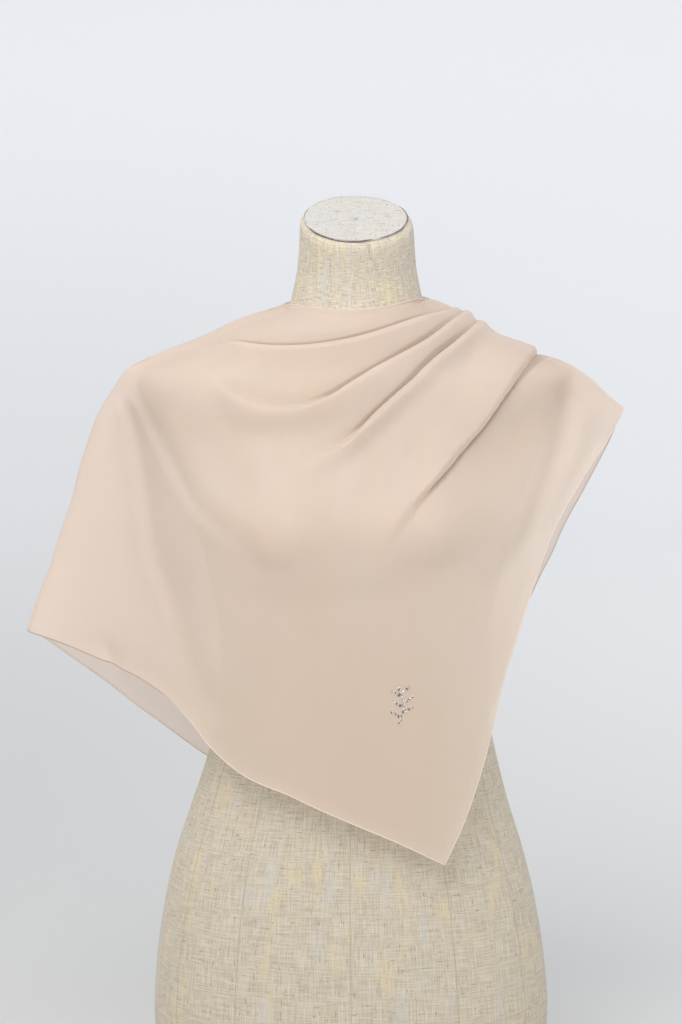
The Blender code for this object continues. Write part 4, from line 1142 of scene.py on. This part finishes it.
def makeCrystals():
    places, facings, sizes = [], [], []
    for x, z, size in sprigSpots():
        hit, normal, _, _ = shawlTree.ray_cast(Vector((x, -1, z)), Vector((0, 1, 0)))
        normal = normal if normal.y < 0 else -normal
        places.append(hit + normal * (crystals["proud"] + size * crystals["depth"] / 2))
        facings.append(normal)
        sizes.append(size)
    carrier = carrierMesh("stoneSpots", places)
    facing = carrier.data.attributes.new("facing", "FLOAT_VECTOR", "POINT")
    facing.data.foreach_set("vector", np.asarray(facings, float).ravel())
    carrier.data.attributes.new("size", "FLOAT", "POINT").data.foreach_set("value", sizes)
    given = {label: crystals[label.lower()] for label in ("Facets", "Depth", "Table")}
    return plainMesh("crystalSprig", carrier, crystalTree(), given, crystalFinish())


crystalSprig = makeCrystals()
print("crystals:", len(sprigSpots()))

seams = {
    # where the seams run, in shares of the half width
    "shares": {front: (-0.87, -0.575, 0.0, 0.530, 0.87), back: (-0.55, 0.0, 0.55)},
    "radius": 0.00042, "sink": 0.00018, "sides": 6, "from": 0.006, "to": 0.690, "step": 0.005,
    "look": {"light": (0.400, 0.345, 0.260), "dark": (0.480, 0.425, 0.330),
             "smudge": 900.0, "tones": (0.3, 0.7)},
}


def seamPath(side, share):
    # one seam up the form, sunk a little into the linen
    points = []
    for z in np.arange(seams["from"], seams["to"], seams["step"]):
        turn = math.acos(math.copysign(abs(share) ** (float(ring("power", z)) / 2), share))
        point = formPoint(z, np.array((side * turn,)))[0]
        near, normal, _, _ = formTree.find_nearest(tuple(point))
        points.append(np.asarray(near) - np.asarray(normal) * seams["sink"])
    return points


# streaks are scale, stretch, detail and the tones they lie between; the rest as for the chiffon
linenWeave = {
    "surface": {"Specular IOR Level": 0.25, "Sheen Weight": 0.12}, "streakRoughness": 0.6,
    "threads": (1050.0, 0.04, 3.0, 0.30, 0.70), "threadTones": (0.15, 0.85),
    "slubs": (430.0, 0.10, 2.0, 0.48, 0.66), "slubShare": 0.40, "slubHeight": 0.6,
    "flecks": (620.0, 0.16, 1.0, 0.665, 0.715), "fleckShare": 0.68,
    "warm": (62.0, 0.26, 2.0, 0.54, 0.72), "warmTint": (0.780, 0.640, 0.330),
    "cool": (48.0, 2.0, 0.5), "coolStretch": (1.0, 0.24, 1.0), "coolTones": (0.56, 0.72),
    "coolTint": (0.560, 0.590, 0.640),
    "puckerShade": (0.0005, 0.0034), "puckerShadeShare": 0.65, "baseShadeFrom": (0.15, 0.62),
    "gloss": (300.0, 2.0, 0.5), "glossSpread": 0.12, "glossFrom": 0.80, "bump": (0.38, 0.0005),
}


def linenFinish(name, tone, fromMap):
    # slubbed linen: long and cross threads of uneven thickness, short dark flecks and faint tints,
    # with painted shade darker towards the bottom
    cloth = linenWeave
    material, board, shader = newMaterial(name, tone["light"], cloth["surface"])
    place = board.onCloth() if fromMap else board.inObject()

    def streaks(scale, along, detail, low, high, lengthwise=True):
        vector = board.scaled(place, (1.0, along, 1.0) if lengthwise else (along, 1.0, 1.0))
        return board.noise(vector, scale, detail, cloth["streakRoughness"]).between(low, high)

    def bothWays(label):
        return streaks(*cloth[label]) + streaks(*cloth[label], lengthwise=False)

    threads, slubs = bothWays("threads") * 0.5, bothWays("slubs") * 0.5
    colour = board.mixColour(threads.between(*cloth["threadTones"]), tone["deep"], tone["light"])
    colour = board.mixColour(slubs * cloth["slubShare"], colour, tone["slub"])
    colour = board.mixColour(bothWays("flecks") * cloth["fleckShare"], colour, tone["fleck"])
    if not fromMap:      # the pucker in the cap's middle
        # painted shade in the dimple at the cap's middle
        spot = board.node("ShaderNodeVectorMath", {"operation": "DISTANCE"}, [place, tone["middle"]], out=1)
        puckerShade = (1.0 - spot.between(*cloth["puckerShade"])) * cloth["puckerShadeShare"]
        colour = board.mixColour(puckerShade, colour, tone["fleck"])
    colour = board.mixColour(streaks(*cloth["warm"]) * tone["tint"], colour, cloth["warmTint"])
    cool = 1.0 - board.noise(board.scaled(place, cloth["coolStretch"]), *cloth["cool"])
    colour = board.mixColour(cool.between(*cloth["coolTones"]) * tone["tint"], colour, cloth["coolTint"])
    # painted shade, darker towards the form's bottom
    baseShaded = 1.0 - board.part(board.inObject(), 2).between(*cloth["baseShadeFrom"])
    feed(board, shader, "Base Color", board.mixColour(baseShaded * tone["baseShade"], colour, tone["deep"]))
    gloss = board.noise(place, *cloth["gloss"]) * cloth["glossSpread"] + cloth["glossFrom"]
    feed(board, shader, "Roughness", gloss)
    feed(board, shader, "Normal", board.bump(*cloth["bump"], threads + slubs * cloth["slubHeight"]))
    return material


threadWeave = {
    "surface": {"Roughness": 0.9, "Specular IOR Level": 0.25}, "smudge": (3.0, 0.6),
    "grain": (1500.0, 2.0, 0.6), "bump": (0.35, 0.0004),
}


def threadFinish(name, look):
    # a dull thread with smudges of a second tone
    material, board, shader = newMaterial(name, look["light"], threadWeave["surface"])
    place = board.inObject()
    smudges = board.noise(place, look["smudge"], *threadWeave["smudge"]).between(*look["tones"])
    feed(board, shader, "Base Color", board.mixColour(smudges, look["light"], look["dark"]))
    feed(board, shader, "Normal", board.bump(*threadWeave["bump"], board.noise(place, *threadWeave["grain"])))
    return material


linenTone = {"light": (0.690, 0.620, 0.500), "deep": (0.445, 0.380, 0.288), "slub": (0.760, 0.700, 0.595),
             "fleck": (0.200, 0.165, 0.130), "tint": 0.42, "baseShade": 0.36}
formBody.data.materials.append(linenFinish("slubbedLinen", linenTone, True))
paths = [seamPath(side, share) for side in (front, back) for share in seams["shares"][side]]
# dark seam lines: partly the seams themselves and partly painted shade along them
formSeams = plainMesh("formSeams", pathCarrier("seamLines", paths), tube,
                      {"Radius": seams["radius"], "Sides": seams["sides"]},
                      threadFinish("seamShadow", seams["look"]))

neckCap = {
    "thickness": 0.0022, "inset": 0.0014, "gap": 0.0003, "edge": 0.0008, "bevel": 0.3,
    "around": 96, "rows": 16, "flatShare": 0.98, "sharpFrom": 60,
    "dimple": 0.0019, "dimpleReach": 0.0040, "dish": 0.0004, "radius": 0.045,
    # the cord's radius, sides, place on the thickness, unevenness as waves, and sag in front
    "cord": 0.00056, "cordSides": 8, "cordAt": 0.55,
    "uneven": 0.0004, "waves": ((3, 1.0, 1.0), (7, 0.7, 0.0), (13, 0.5, 2.0)),
    "sag": 0.0012, "sagTurn": 4.4, "sagWide": 0.35,
    "look": {"light": (0.140, 0.120, 0.125), "dark": (0.260, 0.225, 0.215),
             "smudge": 500.0, "tones": (0.4, 0.7)},
}


def capFrame():
    # the cap's half width and depth, its ways up and to the rear, and its middle
    row = {name: float(ring(name, form["rings"][-1][0])) for name in form["columns"]}
    slope, inset = math.radians(row["tilt"]), neckCap["inset"]
    up = np.array((0, -math.sin(slope), math.cos(slope)))
    rear = np.array((0, math.cos(slope), math.sin(slope)))
    middle = np.array((row["midX"], row["midY"], row["z"])) + up * neckCap["gap"]
    return row["wide"] - inset, row["front"] / math.cos(slope) - inset, up, rear, middle


def capRing(share, height, drawnIn=0.0):
    wide, deep, up, rear, middle = capFrame()
    turns = turnsRound(neckCap["around"])
    return (middle + up * height + np.outer(np.cos(turns) * (wide * share - drawnIn), (1, 0, 0))
            + np.outer(np.sin(turns) * (deep * share - drawnIn), rear))


def makeNeckCap():
    _, _, up, _, middle = capFrame()
    top, edge = neckCap["thickness"], neckCap["edge"]
    rows = [capRing(1.0, 0.0), capRing(1.0, top - edge),
            capRing(1.0, top - edge * neckCap["bevel"], edge * neckCap["bevel"]), capRing(1.0, top, edge)]

    def topHeight(radius):
        dish = neckCap["dish"] * (1 - radius**2)
        dimple = neckCap["dimple"] * math.exp(-(radius * neckCap["radius"] / neckCap["dimpleReach"]) ** 2)
        return top - dish - dimple

    for i in range(1, neckCap["rows"]):
        share = (1 - i / neckCap["rows"]) * neckCap["flatShare"]
        rows.append(capRing(share, topHeight(share)))
    count = neckCap["around"]
    points = [*np.vstack(rows), middle + up * topHeight(0.0)]
    faces = [tuple(reversed(range(count)))]
    for level in range(len(rows) - 1):
        for step in range(count):
            low, follow = level * count, (step + 1) % count
            faces.append((low + step, low + follow, low + count + follow, low + count + step))
    last = (len(rows) - 1) * count
    faces += [(last + step, last + (step + 1) % count, len(points) - 1) for step in range(count)]
    thing = carrierMesh("neckCapCloth", points, faces=faces)
    thing.data.shade_smooth()
    thing.data.set_sharp_from_angle(angle=math.radians(neckCap["sharpFrom"]))
    return thing


neckCapCloth = makeNeckCap()
capTone = {"light": (0.600, 0.570, 0.525), "deep": (0.500, 0.470, 0.435), "slub": (0.680, 0.660, 0.620),
           "fleck": (0.220, 0.200, 0.195), "tint": 0.12, "baseShade": 0.0,
           "middle": tuple(float(value) for value in capFrame()[4])}
neckCapCloth.data.materials.append(linenFinish("capLinen", capTone, False))


def capCordLine():
    # the cord round the cap, a little uneven, that has slipped down in front
    ringPoints = capRing(1.0, neckCap["thickness"] * neckCap["cordAt"])
    turns = turnsRound(neckCap["around"])
    uneven = sum(size * np.sin(count * turns + start) for count, size, start in neckCap["waves"])
    outward = (ringPoints - ringPoints.mean(0)) * (neckCap["uneven"] * uneven / neckCap["radius"])[:, None]
    ringPoints += outward
    ringPoints[:, 2] -= neckCap["sag"] * np.exp(-((turns - neckCap["sagTurn"]) / neckCap["sagWide"]) ** 2)
    return ringPoints


capCord = plainMesh("neckCapCord", ringCarrier("capLine", capCordLine()), tube,
                    {"Radius": neckCap["cord"], "Sides": neckCap["cordSides"]},
                    threadFinish("capThread", neckCap["look"]))
print("neck cap and form seams ready")

for piece in (shawlCloth, rolledHem, rolledNeck, hemStitches, crystalSprig, formBody, formSeams,
              neckCapCloth, capCord):
    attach(piece, "root")
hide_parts("shawl_front", "shawl_back")
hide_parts("form_body")
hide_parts("form_neck_cap")

studio = {
    "floorFront": -6.0, "floorMiddle": -1.5, "bend": 1.6, "bendSteps": 25,
    "wall": 5.6, "top": 6.5, "halfWidth": 6.5,
    "key": {"at": (-0.60, -1.70, 2.30), "size": 1.5, "power": 35.0, "colour": (1.0, 0.985, 0.965)},
    "fill": {"at": (1.9, -2.4, 1.0), "size": 2.4, "power": 8.0, "colour": (0.95, 0.97, 1.0)},
    "world": (0.95, 0.97, 1.0), "worldStrength": 0.92,
    "camera": (-0.01217, -2.58062, 0.84208), "lookAt": (-0.01217, 0.0, 0.52522),
    "lens": 105.12, "sensor": 36, "clipEnd": 50,
}
# the paper's tones, painted light and shade: darker on the left and lower down, lighter far
# back and high up, with a painted pool of light low on the right; and where along X, Y and Z
# one turns into the next
paper = {
    "surface": {"Roughness": 0.95, "Specular IOR Level": 0.1}, "plain": (0.70, 0.72, 0.75),
    "left": (0.590, 0.588, 0.580), "right": (0.69, 0.688, 0.68), "leftToRight": (-0.5, 0.7),
    "far": (0.805, 0.808, 0.815), "nearToFar": (0.3, 4.4),
    "high": (0.930, 0.935, 0.950), "lowToHigh": (0.0, 1.1),
    "bright": (0.94, 0.945, 0.95), "brightX": (-0.7, 1.0), "brightY": (0.3, 3.0), "brightZ": (0.4, 1.3),
    "brightShare": 0.55,
}


def paperFinish():
    material, board, shader = newMaterial("sweepPaper", paper["plain"], paper["surface"])
    place = board.inObject()
    x, y, z = [board.part(place, axis) for axis in range(3)]
    # painted light and shade across the paper by place
    tone = board.mixColour(x.between(*paper["leftToRight"]), paper["left"], paper["right"])
    tone = board.mixColour(y.between(*paper["nearToFar"]), tone, paper["far"])
    tone = board.mixColour(z.between(*paper["lowToHigh"]), tone, paper["high"])
    # a painted pool of light: low down, to the right and further back
    lower = 1.0 - z.between(*paper["brightZ"])
    bright = x.between(*paper["brightX"]) * lower * y.between(*paper["brightY"]) * paper["brightShare"]
    tone = board.mixColour(bright, tone, paper["bright"])
    feed(board, shader, "Base Color", tone)
    return material


def makeSweep():
    # a floor that bends up into a wall behind the object
    wall, bend = studio["wall"], studio["bend"]
    profile = [(studio["floorFront"], 0.0), (studio["floorMiddle"], 0.0), (wall - bend, 0.0)]
    for turn in np.linspace(0, np.pi / 2, studio["bendSteps"])[1:]:
        profile.append((wall - bend + bend * math.sin(turn), bend * (1 - math.cos(turn))))
    profile.append((wall, studio["top"]))
    points = [(x, y, z) for y, z in profile for x in (-studio["halfWidth"], studio["halfWidth"])]
    faces = [(2 * i, 2 * i + 1, 2 * i + 3, 2 * i + 2) for i in range(len(profile) - 1)]
    thing = carrierMesh("studioSweep", points, faces=faces)
    thing.data.shade_smooth()
    thing.data.materials.append(paperFinish())
    return thing


def aimed(name, data, at):
    # a lamp or camera in its place, turned to the object
    thing = placed(name, data)
    thing.location = at
    thing.rotation_euler = (Vector(studio["lookAt"]) - Vector(at)).to_track_quat("-Z", "Y").to_euler()
    return thing


def areaLight(name, values):
    light = bpy.data.lights.new(name, "AREA")
    light.shape = "SQUARE"
    light.size = values["size"]
    light.energy = values["power"]
    light.color = values["colour"]
    aimed(name, light, values["at"])


makeSweep()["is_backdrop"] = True
areaLight("keyLight", studio["key"])
areaLight("fillLight", studio["fill"])
world = bpy.data.worlds.new("studioAir")
world.use_nodes = True
air = world.node_tree.nodes["Background"].inputs
air["Color"].default_value = (*studio["world"], 1)
air["Strength"].default_value = studio["worldStrength"]
bpy.context.scene.world = world
bpy.context.scene.view_settings.view_transform = "Standard"

lens = bpy.data.cameras.new("photoView")
lens.lens = studio["lens"]
lens.sensor_width = studio["sensor"]
lens.clip_end = studio["clipEnd"]
bpy.context.scene.camera = aimed("photoView", lens, studio["camera"])
print("studio ready")

sizes = {"cad": [list(corner) for corner in cadBox], "visual": [list(corner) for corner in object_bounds()]}
